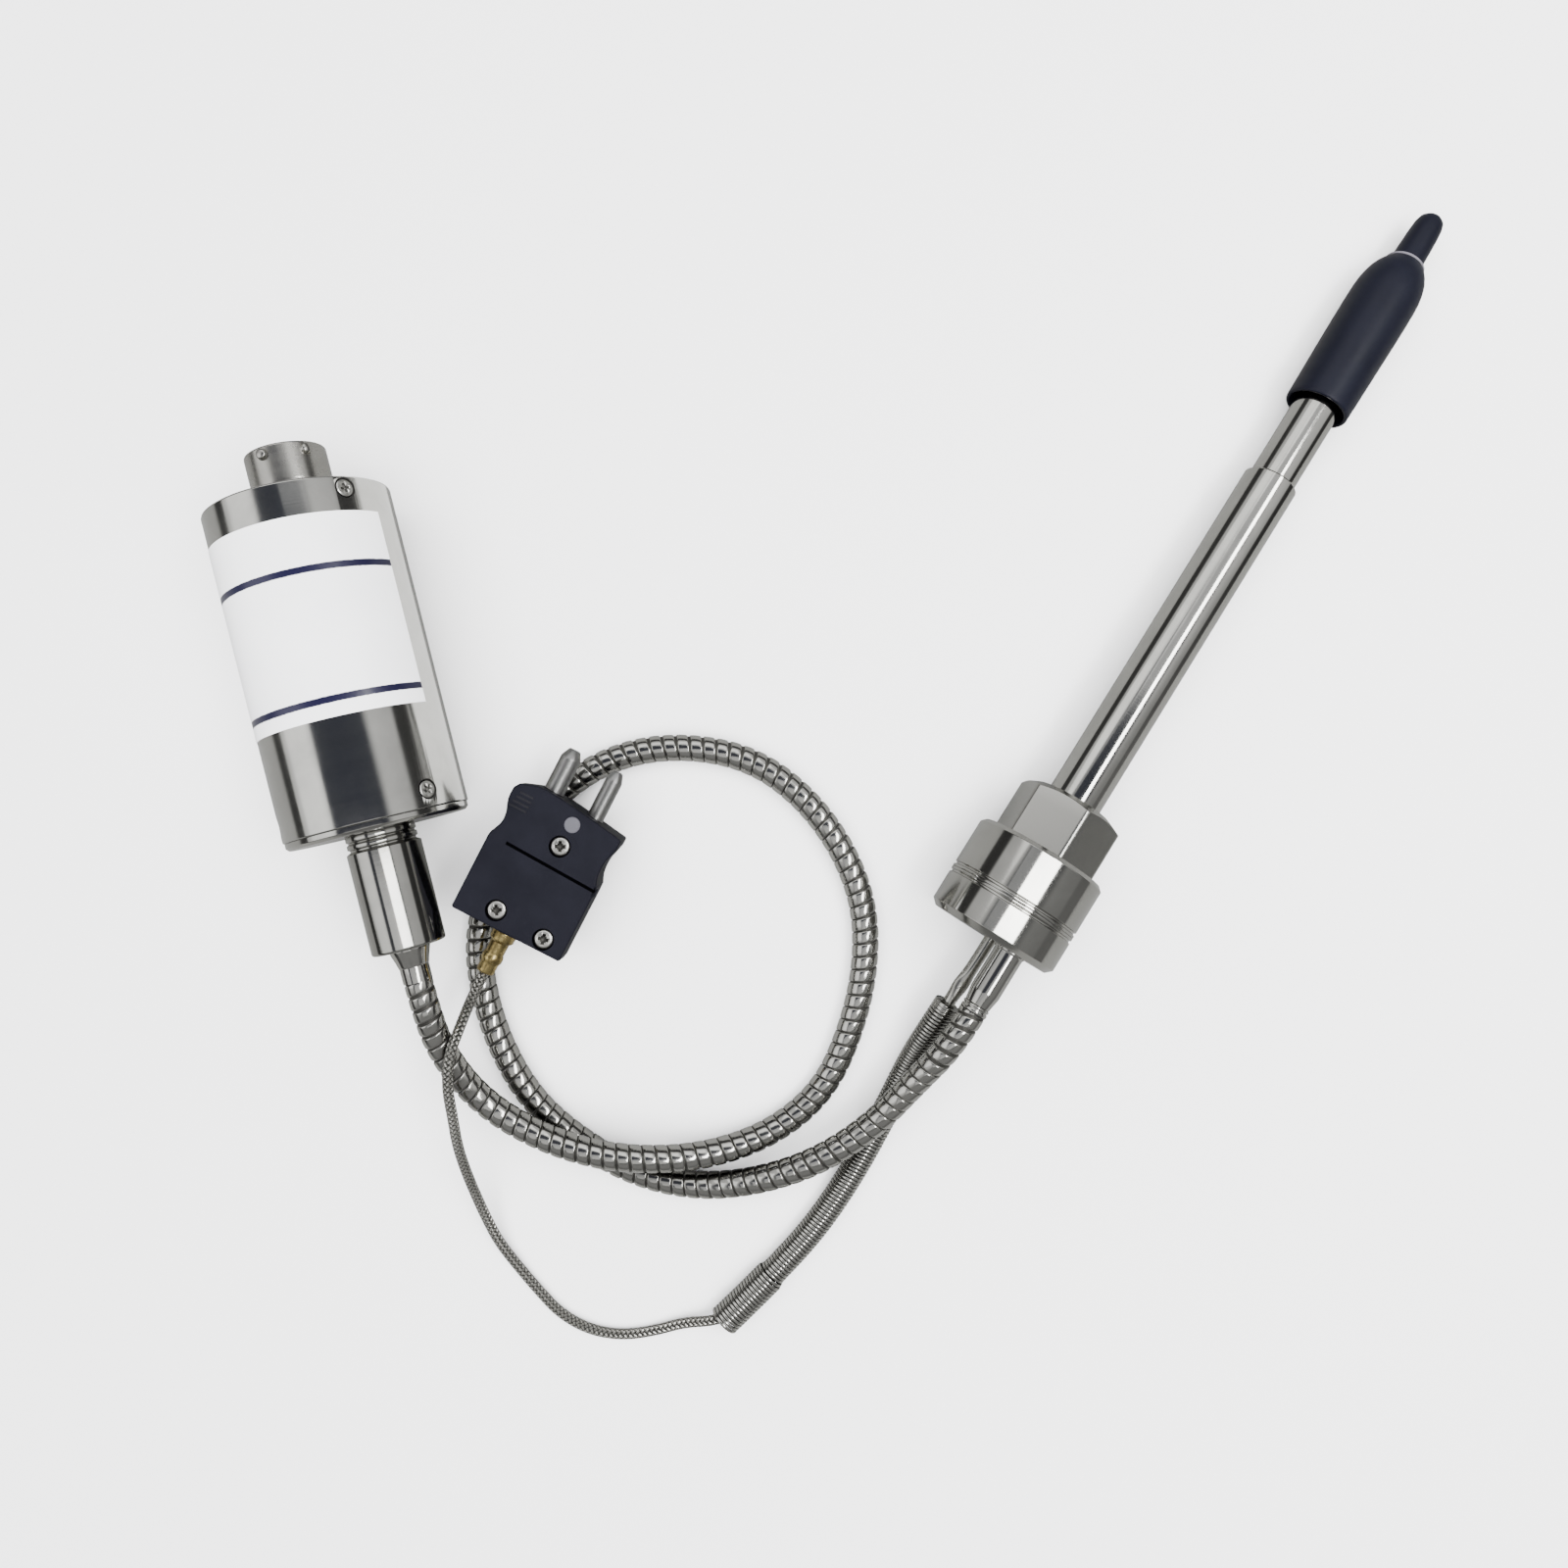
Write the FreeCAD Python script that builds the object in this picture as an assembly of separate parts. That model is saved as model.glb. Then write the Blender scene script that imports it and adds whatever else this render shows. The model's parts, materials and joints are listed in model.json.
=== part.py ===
import FreeCAD, Part
import math, os
from FreeCAD import Vector as V

# Melt pressure transmitter: electronics housing, armoured flexible hose, rigid
# stem with a protective cap, and a thermocouple lead with its plug.
# Millimetres. The part lies on a surface at z = 0, +Z up. The housing axis runs
# along +Y towards the receptacle.

# ---------------------------------------------------------------- dimensions
OX, OY = 34.038, 12.160         # base centre of the object, in the layout below

# electronics housing
HX, HY, HR = -91.30, 8.05, 20.0  # axis x, lower end of the tube, radius
HL = 72.6                        # tube length
H_BORE = 18.4
CAP_T = 8.0                      # plug-in end caps
FLANGE_T, FLANGE_R = 1.8, 19.7   # rim of the lower cap
TOP_SCREW_Y, LOW_SCREW_Y = 70.0, 3.85
TOP_SCREW_A, LOW_SCREW_A = 40.6, 36.0
SCREW_HEAD_R, SCREW_R = 2.1, 1.25
LABEL_LO, LABEL_HI, LABEL_T = 22.6, 65.0, 0.1
LABEL_A0, LABEL_A1 = 20.0, 235.0  # wrap of the label about the axis, from +X

# receptacle
RC_R, RC_L, RC_BORE = 8.7, 11.95, 7.1
LUG_R, LUG_H, LUG_A = 1.25, 1.0, (39.8, 101.8, 250.8)
CONTACTS, CONTACT_PCD, CONTACT_R = 6, 8.0, 0.8

# neck under the housing
NECK_R, NECK_GROOVE_R = 8.1, 7.2
NECK_L = 26.95                   # from the cap rim to the shoulder
CONE_R0, CONE_R1, CONE_L = 4.4, 3.2, 4.3

# stem: t runs along the axis from the hex face to the tip
STEM_P = (61.174, -26.172, 14.757)
STEM_HEAD, STEM_TILT = 43.5, 2.844   # heading in plan, nose-down tilt, degrees
HEX_AF, HEX_L, HEX_A = 22.0, 13.6, 25.0
COLLAR_R, COLLAR_END, COLLAR_SPLIT = 15.5, -36.4, -26.6
STEM_R0 = 5.9                    # spigot inside the hexagon
STEM_R1, STEM_T1 = 6.25, 87.45
STEM_R2 = 5.25
THREAD_R, THREAD_T0, THREAD_T1 = 6.35, 116.0, 131.0   # 1/2-20 UNF
NOSE_R, NOSE_T = 3.95, 138.8
CAP_T0, CAP_R, CAP_T1 = 107.7, 7.85, 161.6
SLEEVE_LAT, SLEEVE_UP, SLEEVE_R = 5.4, 0.4, 3.5
OUT_LAT, OUT_UP, OUT_R = 1.6, -5.6, 1.5

# flexible hose, spring and lead
HOSE_OD, HOSE_ID = 6.3, 4.4
SPRING_OD, SPRING_ID = 6.4, 4.8
BELL_OD = 7.7
LEAD_D = 2.2
CAPILLARY_D = 1.6

# thermocouple plug: x forward from its rear face, y to the right, z about its parting face
PLUG_P, PLUG_HEAD = (-70.25, -23.17, 13.25), 48.6
PLUG_L, PLUG_W, PLUG_T = 31.3, 27.3, 12.7
PIN_Y = (-5.7, 5.4)              # 11.1 mm between the two pins
PIN_R = (2.4, 2.0)
PIN_L = 12.0

HOSE = [(-91.30, -25.00, 20.00), (-91.3, -33.4, 20.0), (-91.6, -45.7, 16.0),
        (-87.5, -59.3, 11.2), (-77.7, -70.3, 10.1), (-65.2, -78.4, 10.5),
        (-51.6, -83.7, 9.1), (-37.4, -86.5, 5.9), (-22.7, -85.2, 3.5),
        (-9.7, -78.5, 3.2), (-0.5, -66.8, 3.2), (6.4, -53.6, 3.2),
        (9.9, -39.3, 3.2), (8.3, -24.7, 3.2), (2.6, -10.8, 3.2),
        (-6.6, 0.6, 3.2), (-19.7, 7.5, 3.2), (-34.4, 10.2, 3.2),
        (-48.8, 7.5, 3.2), (-61.6, 0.0, 3.2), (-72.6, -10.1, 3.2),
        (-80.7, -22.4, 3.2), (-82.9, -36.9, 3.2), (-81.7, -51.8, 3.2),
        (-77.2, -65.7, 3.2), (-68.4, -77.6, 3.2), (-57.4, -87.7, 3.2),
        (-44.2, -93.7, 4.1), (-29.8, -94.5, 7.8), (-15.4, -92.6, 10.4),
        (-1.4, -87.9, 10.4), (10.7, -79.4, 13.6)]      # the last two follow from the sleeve
SPRING = [(22.6, -64.4, 11.1), (18.4, -68.6, 9.9), (11.6, -76.6, 4.6),
          (4.1, -85.8, 3.25), (-3.8, -94.6, 3.3), (-12.2, -103.0, 3.25),
          (-21.2, -110.6, 3.3), (-31.3, -117.1, 3.6), (-41.4, -123.0, 3.85),
          (-46.6, -125.9, 3.95)]
LEAD = [(19.80, -67.20, 10.30), (17.4, -69.52, 9.76), (14.4, -73.3, 6.7),
        (10.5, -77.9, 4.4), (5.7, -83.9, 3.4), (0.6, -89.7, 3.2),
        (-4.6, -95.4, 3.3), (-10.1, -100.9, 3.2), (-15.8, -106.1, 3.2),
        (-21.8, -110.9, 3.3), (-28.2, -115.1, 3.5), (-35.0, -119.6, 3.7),
        (-41.9, -124.5, 3.9), (-48.7, -125.4, 3.8), (-56.1, -124.8, 1.9),
        (-63.8, -125.3, 1.25), (-71.6, -124.4, 1.2), (-78.7, -121.2, 1.2),
        (-84.4, -115.8, 1.2), (-88.1, -109.0, 1.2), (-91.5, -102.0, 1.3),
        (-94.1, -94.8, 2.5), (-94.9, -87.4, 4.6), (-94.8, -80.4, 8.0),
        (-94.1, -73.9, 12.2), (-93.2, -67.2, 16.0), (-91.7, -60.0, 18.8),
        (-90.7, -52.7, 20.5), (-88.45, -46.0, 20.45), (-85.65, -40.8, 16.2)]

os.makedirs("parts", exist_ok=True)
SHIFT = V(-OX, -OY, 0)
parts = {}


# ---------------------------------------------------------------- helpers
def keep(name, *shapes):
    s = shapes[0] if len(shapes) == 1 else Part.makeCompound(list(shapes))
    s = s.copy()
    s.translate(SHIFT)
    parts[name] = s


def frame(origin, z, x):
    z = V(*z).normalize()
    x = V(*x)
    x = (x - z * x.dot(z)).normalize()
    y = z.cross(x)
    m = FreeCAD.Matrix(x.x, y.x, z.x, origin[0], x.y, y.y, z.y, origin[1], x.z, y.z, z.z, origin[2], 0, 0, 0, 1)
    return FreeCAD.Placement(m)


def at(shape, plc):
    s = shape.copy()
    s.transformShape(plc.toMatrix(), True)
    return s


def turned(profile):
    """A solid turned about local Z from (r, z) points; a pair may be ('arc', (r, z) middle, (r, z) end)."""
    edges = []
    pts = []
    last = None
    for p in profile:
        if p[0] == "arc":
            mid, end = p[1], p[2]
            edges.append(Part.Arc(V(last[0], 0, last[1]), V(mid[0], 0, mid[1]), V(end[0], 0, end[1])).toShape())
            last = end
        else:
            if last is not None:
                edges.append(Part.makeLine(V(last[0], 0, last[1]), V(p[0], 0, p[1])))
            else:
                first = p
            last = p
    if (last[0], last[1]) != (first[0], first[1]):
        edges.append(Part.makeLine(V(last[0], 0, last[1]), V(first[0], 0, first[1])))
    face = Part.Face(Part.Wire(edges))
    return face.revolve(V(0, 0, 0), V(0, 0, 1), 360)


def cyl(r, a, b, x=0.0, y=0.0):
    return Part.makeCylinder(r, b - a, V(x, y, a), V(0, 0, 1))


def route_wire(points):
    """Straight runs joined by tangent arcs."""
    P = [V(*p) for p in points]
    edges, radii = [], []
    last = P[0]
    for i in range(1, len(P) - 1):
        a, b = P[i - 1] - P[i], P[i + 1] - P[i]
        la, lb = a.Length, b.Length
        a.normalize()
        b.normalize()
        turn = math.pi - a.getAngle(b)
        t = 0.45 * min(la, lb)
        r = t / math.tan(turn / 2)
        p0, p1 = P[i] + a * t, P[i] + b * t
        bis = (a + b).normalize()
        centre = P[i] + bis * math.hypot(r, t)
        mid = centre - bis * r
        edges.append(Part.LineSegment(last, p0).toShape())
        edges.append(Part.Arc(p0, mid, p1).toShape())
        radii.append(r)
        last = p1
    edges.append(Part.LineSegment(last, P[-1]).toShape())
    return Part.Wire(edges), radii


def swept(points, r, name, inner=0.0):
    wire, radii = route_wire(points)
    d = V(*points[1]) - V(*points[0])
    out = []
    for rr in ([r, inner] if inner else [r]):
        prof = Part.Wire([Part.makeCircle(rr, V(*points[0]), d)])
        out.append(wire.makePipeShell([prof], True, False, 2))
    s = out[0].cut(out[1]) if inner else out[0]
    want = math.pi * (r * r - inner * inner) * wire.Length
    print("%s: length %.1f, volume %.1f of %.1f, radii %s" % (
        name, wire.Length, s.Volume, want, " ".join("%.0f" % q for q in radii)))
    return s


# ---------------------------------------------------------------- housing
H = frame((HX, HY, HR), (0, 1, 0), (1, 0, 0))      # local z along the tube


def around(angle, shape):
    """Turn a shape about the housing axis, angle from +X towards +Z."""
    s = shape.copy()
    s.rotate(V(0, 0, 0), V(0, 0, 1), -angle)
    return s


def radial_screw(z, surface_r):
    """A countersunk screw whose axis is local +X, and the hole it sits in."""
    f = surface_r - 0.18
    head = Part.makeCone(SCREW_R, SCREW_HEAD_R, 1.1, V(f - 1.1, 0, z), V(1, 0, 0))
    shank = Part.makeCylinder(SCREW_R, 5.4, V(f - 6.4, 0, z), V(1, 0, 0))
    s = head.fuse(shank).removeSplitter()
    for w, d in ((0.5, 1.9), (1.9, 0.5)):
        s = s.cut(Part.makeBox(0.7, w, d, V(f - 0.65, -w / 2, z - d / 2)))
    hole = Part.makeCylinder(SCREW_HEAD_R, 3.0, V(f, 0, z), V(1, 0, 0)).fuse(
        Part.makeCone(SCREW_R, SCREW_HEAD_R, 1.1, V(f - 1.1, 0, z), V(1, 0, 0))).fuse(
        Part.makeCylinder(SCREW_R, 5.4, V(f - 6.4, 0, z), V(1, 0, 0)))
    return s, hole


tube = turned([(H_BORE, 0), (HR - 0.3, 0), (HR, 0.3), (HR, HL - 0.5), (HR - 0.5, HL), (H_BORE, HL)])
lower = turned([(6.0, -FLANGE_T), (FLANGE_R - 0.5, -FLANGE_T), (FLANGE_R, -FLANGE_T + 0.5), (FLANGE_R, 0),
                (H_BORE - 0.1, 0), (H_BORE - 0.1, 5.6), (H_BORE - 1.3, 5.6), (H_BORE - 1.3, 7.2), (H_BORE - 0.1, 7.2),
                (H_BORE - 0.1, CAP_T + 1), (14.5, CAP_T + 1), (14.5, 4.5), (6.0, 4.5)])
upper = turned([(7.0, HL - 5), (13.5, HL - 5), (13.5, HL - CAP_T - 1), (H_BORE - 0.1, HL - CAP_T - 1),
                (H_BORE - 0.1, HL - 7.2), (H_BORE - 1.3, HL - 7.2), (H_BORE - 1.3, HL - 5.6), (H_BORE - 0.1, HL - 5.6),
                (H_BORE - 0.1, HL), (7.0, HL)])
low_screws, top_screws = [], []
for k in range(3):
    s, h = radial_screw(LOW_SCREW_Y, HR)
    s, h = around(LOW_SCREW_A + 120 * k, s), around(LOW_SCREW_A + 120 * k, h)
    tube, lower = tube.cut(h), lower.cut(h)
    low_screws.append(at(s, H))
    s, h = radial_screw(TOP_SCREW_Y, HR)
    s, h = around(TOP_SCREW_A + 120 * k, s), around(TOP_SCREW_A + 120 * k, h)
    tube, upper = tube.cut(h), upper.cut(h)
    top_screws.append(at(s, H))
keep("housing_tube", at(tube, H))
keep("lower_end_cap", at(lower, H))
keep("upper_end_cap", at(upper, H))
keep("lower_cap_screws", *low_screws)
keep("upper_cap_screws", *top_screws)
for name, z in (("lower_seal_ring", 6.4), ("upper_seal_ring", HL - 6.4)):
    keep(name, at(Part.makeTorus(H_BORE - 0.56, 0.56, V(0, 0, z), V(0, 0, 1)), H))

span = LABEL_A1 - LABEL_A0
lab = Part.makeCylinder(HR + LABEL_T, LABEL_HI - LABEL_LO, V(0, 0, LABEL_LO), V(0, 0, 1), span).cut(
    cyl(HR, LABEL_LO - 1, LABEL_HI + 1))
lab.rotate(V(0, 0, 0), V(0, 0, 1), -LABEL_A1)
keep("rating_label", at(lab, H))

# receptacle with six contacts and bayonet studs
shell = turned([(RC_BORE, HL + 2.0), (RC_BORE, HL + RC_L - 0.5), (RC_BORE + 0.5, HL + RC_L), (RC_R - 0.5, HL + RC_L),
                (RC_R, HL + RC_L - 0.5), (RC_R, HL), (6.9, HL), (6.9, HL - 9.0), (5.7, HL - 9.0), (5.7, HL + 2.0)])
for a in LUG_A:
    stud = Part.makeCylinder(LUG_R, LUG_H + 0.8, V(RC_R - 0.8, 0, HL + RC_L - 1.9), V(1, 0, 0))
    shell = shell.fuse(around(a, stud))
keep("receptacle_shell", at(shell.removeSplitter(), H))
insert = turned([(0, HL - 8.0), (5.65, HL - 8.0), (5.65, HL + 2.0), (RC_BORE - 0.05, HL + 2.0),
                 (RC_BORE - 0.05, HL + 3.0), (0, HL + 3.0)])
contacts = []
for k in range(CONTACTS):
    a = math.radians(360 * k / CONTACTS + 15)
    x, y = CONTACT_PCD / 2 * math.cos(a), CONTACT_PCD / 2 * math.sin(a)
    pin = cyl(CONTACT_R, HL - 12.0, HL + 6.8, x, y)
    pin = pin.fuse(Part.makeSphere(CONTACT_R, V(x, y, HL + 6.8))).removeSplitter()
    insert = insert.cut(cyl(CONTACT_R, HL - 12.0, HL + 6.8, x, y))
    contacts.append(at(pin, H))
keep("receptacle_insert", at(insert, H))
keep("receptacle_contacts", *contacts)
hexw = Part.makePolygon([V(10.5 * math.cos(math.radians(60 * k)), 10.5 * math.sin(math.radians(60 * k)), HL - 8.2) for k in range(7)])
nut = Part.Face(hexw).extrude(V(0, 0, 3.0)).cut(cyl(6.95, HL - 10, HL))
keep("receptacle_nut", at(nut, H))

# board, its parts, posts and wires
board = Part.makeBox(29.0, 1.6, 44.0, V(-14.5, 2.0, 13.0))
comps = [Part.makeBox(8, 2.2, 8, V(-4, -0.2, 34)), Part.makeBox(5, 1.6, 4, V(5, 0.4, 24)), Part.makeBox(4, 1.6, 5, V(-11, 0.4, 22)),
         Part.makeBox(5.5, 3.0, 9, V(-12, -1.0, 42)), Part.makeCylinder(2.5, 6.0, V(8, 2.0, 45), V(0, -1, 0)),
         Part.makeCylinder(2.0, 5.0, V(9, 2.0, 34), V(0, -1, 0))]
keep("circuit_board", at(board, H))
keep("board_components", *[at(c, H) for c in comps])
posts = []
for x in (-12.5, 12.5):
    post = Part.makeBox(3.4, 3.0, 51.0, V(x - 1.7, 3.6, CAP_T + 1))
    posts.append(at(post, H))
keep("board_posts", *posts)
wires = []
for k, (x, z0) in enumerate(((-4.5, 52.0), (-1.5, 52.0), (1.5, 52.0), (4.5, 52.0))):
    w, _ = route_wire([(x, 0.9, z0), (x, -3.2, z0 + 2.0), (x * 0.8, -3.4, HL - 12.5)])
    prof = Part.Wire([Part.makeCircle(0.5, V(x, 0.9, z0), V(0, -4.1, 2.0))])
    wires.append(at(w.makePipeShell([prof], True, False, 2), H))
keep("receptacle_wires", *wires)

# neck with the strain-gauge capsule
N0 = -FLANGE_T
neck = turned([(5.95, 5.5), (5.95, N0), (NECK_R - 0.5, N0), (NECK_R - 0.5, N0 - 2.0), (NECK_GROOVE_R, N0 - 2.2), (NECK_GROOVE_R, N0 - 3.2),
               (NECK_R, N0 - 3.5), (NECK_R, N0 - NECK_L + 0.5), (NECK_R - 0.5, N0 - NECK_L), (3.5, N0 - NECK_L),
               (3.5, N0 - NECK_L + 3.0), (4.6, N0 - NECK_L + 4.0), (4.6, 5.5)])
keep("neck_body", at(neck, H))
cone = turned([(1.0, N0 - NECK_L + 3.0), (3.45, N0 - NECK_L + 3.0), (3.45, N0 - NECK_L), (CONE_R0, N0 - NECK_L), (CONE_R0, N0 - NECK_L - 0.8),
               (CONE_R1, N0 - NECK_L - CONE_L), (1.0, N0 - NECK_L - CONE_L)])
keep("hose_end_cone", at(cone, H))
caps = turned([(0.85, -18.0), (4.0, -18.0), (4.0, -6.0), (3.0, -5.0), (3.0, 1.0), (1.5, 1.0), (1.5, -10.0), (0.85, -10.0)])
keep("strain_gauge_capsule", at(caps, H))
gw = []
for x in (-0.7, 0.7):
    w, _ = route_wire([(x, 0, 1.0), (x, -0.3, 7.0), (x * 3, 0.4, 13.0), (x * 3, 1.55, 17.0)])
    prof = Part.Wire([Part.makeCircle(0.4, V(x, 0, 1.0), V(0, -0.3, 6.0))])
    gw.append(at(w.makePipeShell([prof], True, False, 2), H))
keep("gauge_wires", *gw)

# ---------------------------------------------------------------- stem
hd, tl = math.radians(STEM_HEAD), math.radians(STEM_TILT)
AX = (math.cos(hd) * math.cos(tl), math.sin(hd) * math.cos(tl), -math.sin(tl))
LAT = (math.sin(hd), -math.cos(hd), 0.0)
S = frame(STEM_P, AX, LAT)       # local x to the right, local y down, local z along the stem


def stem_point(t, lat=0.0, up=0.0):
    p = S.multVec(V(lat, -up, t))
    return (p.x, p.y, p.z)


R = HEX_AF / math.sqrt(3)
hexp = [V(R * math.cos(math.radians(HEX_A + 60 * k)), -R * math.sin(math.radians(HEX_A + 60 * k)), -HEX_L) for k in range(7)]
hexb = Part.Face(Part.makePolygon(hexp)).extrude(V(0, 0, HEX_L))
hexb = hexb.common(turned([(0, -HEX_L), (R + 1, -HEX_L), (R + 1, -2.5), (8.8, 0), (0, 0)]))
front = turned([(0, -HEX_L), (COLLAR_R - 1.0, -HEX_L), (COLLAR_R, -HEX_L - 1.0), (COLLAR_R, -25.2), (COLLAR_R - 0.5, -25.35),
                (COLLAR_R - 0.5, -25.85), (COLLAR_R, -26.0), (COLLAR_R, COLLAR_SPLIT), (0, COLLAR_SPLIT)])
bore = turned([(0, 1), (STEM_R0, 1), (STEM_R0, -10.0), (11.5, -14.5), (11.5, -30), (0, -30)])
hex_body = hexb.fuse(front).removeSplitter().cut(bore)
keep("hex_body", at(hex_body, S))
rear = turned([(11.5, COLLAR_SPLIT), (COLLAR_R, COLLAR_SPLIT), (COLLAR_R, -27.2), (COLLAR_R - 0.5, -27.35), (COLLAR_R - 0.5, -27.85),
               (COLLAR_R, -28.0), (COLLAR_R, COLLAR_END + 1.4), (COLLAR_R - 1.4, COLLAR_END), (0, COLLAR_END),
               (0, COLLAR_END + 4.0), (11.5, COLLAR_END + 4.0)])
rear = rear.cut(cyl(2.6, -40, -30, SLEEVE_LAT, -SLEEVE_UP)).cut(cyl(OUT_R, -40, -30, OUT_LAT, -OUT_UP))
keep("collar_cap", at(rear, S))
stem = turned([(4.25, -10.0), (STEM_R0, -10.0), (STEM_R0, 0.0), (STEM_R1, 0.0), (STEM_R1, STEM_T1 - 0.5), (STEM_R1 - 0.5, STEM_T1), (4.25, STEM_T1)])
keep("stem_tube", at(stem, S))
tip = turned([(0, 80.0), (4.2, 80.0), (4.2, STEM_T1), (STEM_R2, STEM_T1), (STEM_R2, THREAD_T0 - 0.6), (THREAD_R - 0.6, THREAD_T0 - 0.1),
              (THREAD_R, THREAD_T0 + 0.5), (THREAD_R, THREAD_T1 - 0.9), (THREAD_R - 0.9, THREAD_T1), (NOSE_R, THREAD_T1 + 1.5),
              (NOSE_R, NOSE_T - 0.3), (0, NOSE_T - 0.3)])
tip = tip.cut(cyl(0.85, 79, NOSE_T - 1.8)).cut(cyl(0.85, 79, 136.6, 0, 2.3))
keep("threaded_probe_tip", at(tip, S))
keep("process_diaphragm", at(turned([(0, NOSE_T - 0.3), (NOSE_R, NOSE_T - 0.3), (NOSE_R - 0.1, NOSE_T), (0, NOSE_T)]), S))
keep("thermocouple_probe", at(cyl(0.8, -16.0, 136.5, 0, 2.3), S))

# hose sleeve, crimp ring and thermocouple outlet
slv = turned([(1.6, COLLAR_END + 4.0), (2.55, COLLAR_END + 4.0), (2.55, COLLAR_END), (SLEEVE_R, COLLAR_END), (SLEEVE_R, -47.2), (2.9, -50.4),
              (1.6, -50.4)])
slv.translate(V(SLEEVE_LAT, -SLEEVE_UP, 0))
keep("hose_sleeve", at(slv, S))
crimp = turned([(1.2, -50.4), (3.0, -50.4), ("arc", (3.3, -51.4), (3.0, -52.4)), (1.2, -52.4)])
crimp.translate(V(SLEEVE_LAT, -SLEEVE_UP, 0))
keep("hose_crimp_ring", at(crimp, S))

hose_end = stem_point(-52.4, SLEEVE_LAT, SLEEVE_UP)
hose_in = stem_point(-60.9, SLEEVE_LAT, SLEEVE_UP)
HOSE[0] = (HX, HY + N0 - NECK_L - CONE_L, HR)
hose_pts = HOSE + [hose_in, hose_end]
keep("flexible_hose", swept(hose_pts, HOSE_OD / 2, "flexible_hose", HOSE_ID / 2))
cap_pts = [(HX, HY - 14.0, HR)] + hose_pts[1:-1] + [stem_point(-33.0, SLEEVE_LAT, SLEEVE_UP), stem_point(-17.0, 0, 0), stem_point(NOSE_T - 2.0, 0, 0)]
keep("pressure_capillary", swept(cap_pts, CAPILLARY_D / 2, "pressure_capillary"))

out0 = stem_point(COLLAR_END + 4.0, OUT_LAT, OUT_UP)
tube_pts = [out0, (26.2, -61.0, 11.75), LEAD[0]]
keep("lead_outlet_tube", swept(tube_pts, OUT_R, "lead_outlet_tube", 0.8))
wpts = [stem_point(-16.0, 0, -2.3), stem_point(-20.0, 0.1, -2.3), stem_point(-27.0, 1.5, -5.4), stem_point(COLLAR_END + 4.0, OUT_LAT, OUT_UP)]
keep("thermocouple_wires", swept(wpts, 0.7, "thermocouple_wires"))

# ---------------------------------------------------------------- spring guard and lead
body = swept(SPRING, SPRING_OD / 2, "lead_spring", SPRING_ID / 2)
d = (V(*SPRING[-1]) - V(*SPRING[-2])).normalize()
keep("lead_spring", body)

# ---------------------------------------------------------------- plug
ph = math.radians(PLUG_HEAD)
G = frame(PLUG_P, (0, 0, 1), (math.cos(ph), math.sin(ph), 0))     # local x forward, local y left, local z up


def outline(x0, z):
    w = PLUG_W / 2
    L = PLUG_L
    e = [Part.makeLine(V(x0, w - 0.3, z), V(x0, -w + 0.3, z)),
         Part.Arc(V(x0, -w + 0.3, z), V(x0 + 0.09, -w + 0.09, z), V(x0 + 0.3, -w, z)).toShape(),
         Part.makeLine(V(x0 + 0.3, -w, z), V(19.8, -w, z)),
         Part.Arc(V(19.8, -w, z), V(23.3, -w + 1.15, z), V(27.0, -w, z)).toShape(),
         Part.makeLine(V(27.0, -w, z), V(L - 0.6, -w, z)),
         Part.Arc(V(L - 0.6, -w, z), V(L - 0.18, -w + 0.18, z), V(L, -w + 0.6, z)).toShape(),
         Part.makeLine(V(L, -w + 0.6, z), V(L, w - 1.6, z)),
         Part.Arc(V(L, w - 1.6, z), V(L - 0.45, w - 0.45, z), V(L - 1.6, w, z)).toShape(),
         Part.makeLine(V(L - 1.6, w, z), V(28.0, w, z)),
         Part.Arc(V(28.0, w, z), V(23.4, w - 1.35, z), V(19.0, w, z)).toShape(),
         Part.makeLine(V(19.0, w, z), V(x0 + 0.3, w, z)),
         Part.Arc(V(x0 + 0.3, w, z), V(x0 + 0.09, w - 0.09, z), V(x0, w - 0.3, z)).toShape()]
    return Part.Wire(e)


half = PLUG_T / 2
base = Part.Face(outline(-0.7, -half)).extrude(V(0, 0, half))
cover = Part.Face(outline(0.0, 0.0)).extrude(V(0, 0, half))
top_edges = [e for e in cover.Edges if abs(e.BoundBox.ZMin - half) < 1e-6 and abs(e.BoundBox.ZMax - half) < 1e-6]
cover = cover.makeFillet(0.45, top_edges)
low_edges = [e for e in base.Edges if abs(e.BoundBox.ZMin + half) < 1e-6 and abs(e.BoundBox.ZMax + half) < 1e-6]
base = base.makeFillet(0.45, low_edges)
base = base.cut(Part.makeBox(17.0, 20.0, 4.2, V(6.0, -10.0, -4.2)))
cover = cover.cut(Part.makeBox(17.0, 9.0, 3.6, V(6.0, -9.8, 0.0))).cut(Part.makeBox(12.0, 9.0, 3.6, V(7.0, 0.8, 0.0)))
cover = cover.cut(Part.makeBox(0.7, 9.0 + 16, 0.5, V(17.2, -16.0, half - 0.5)))
pins = []
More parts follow.
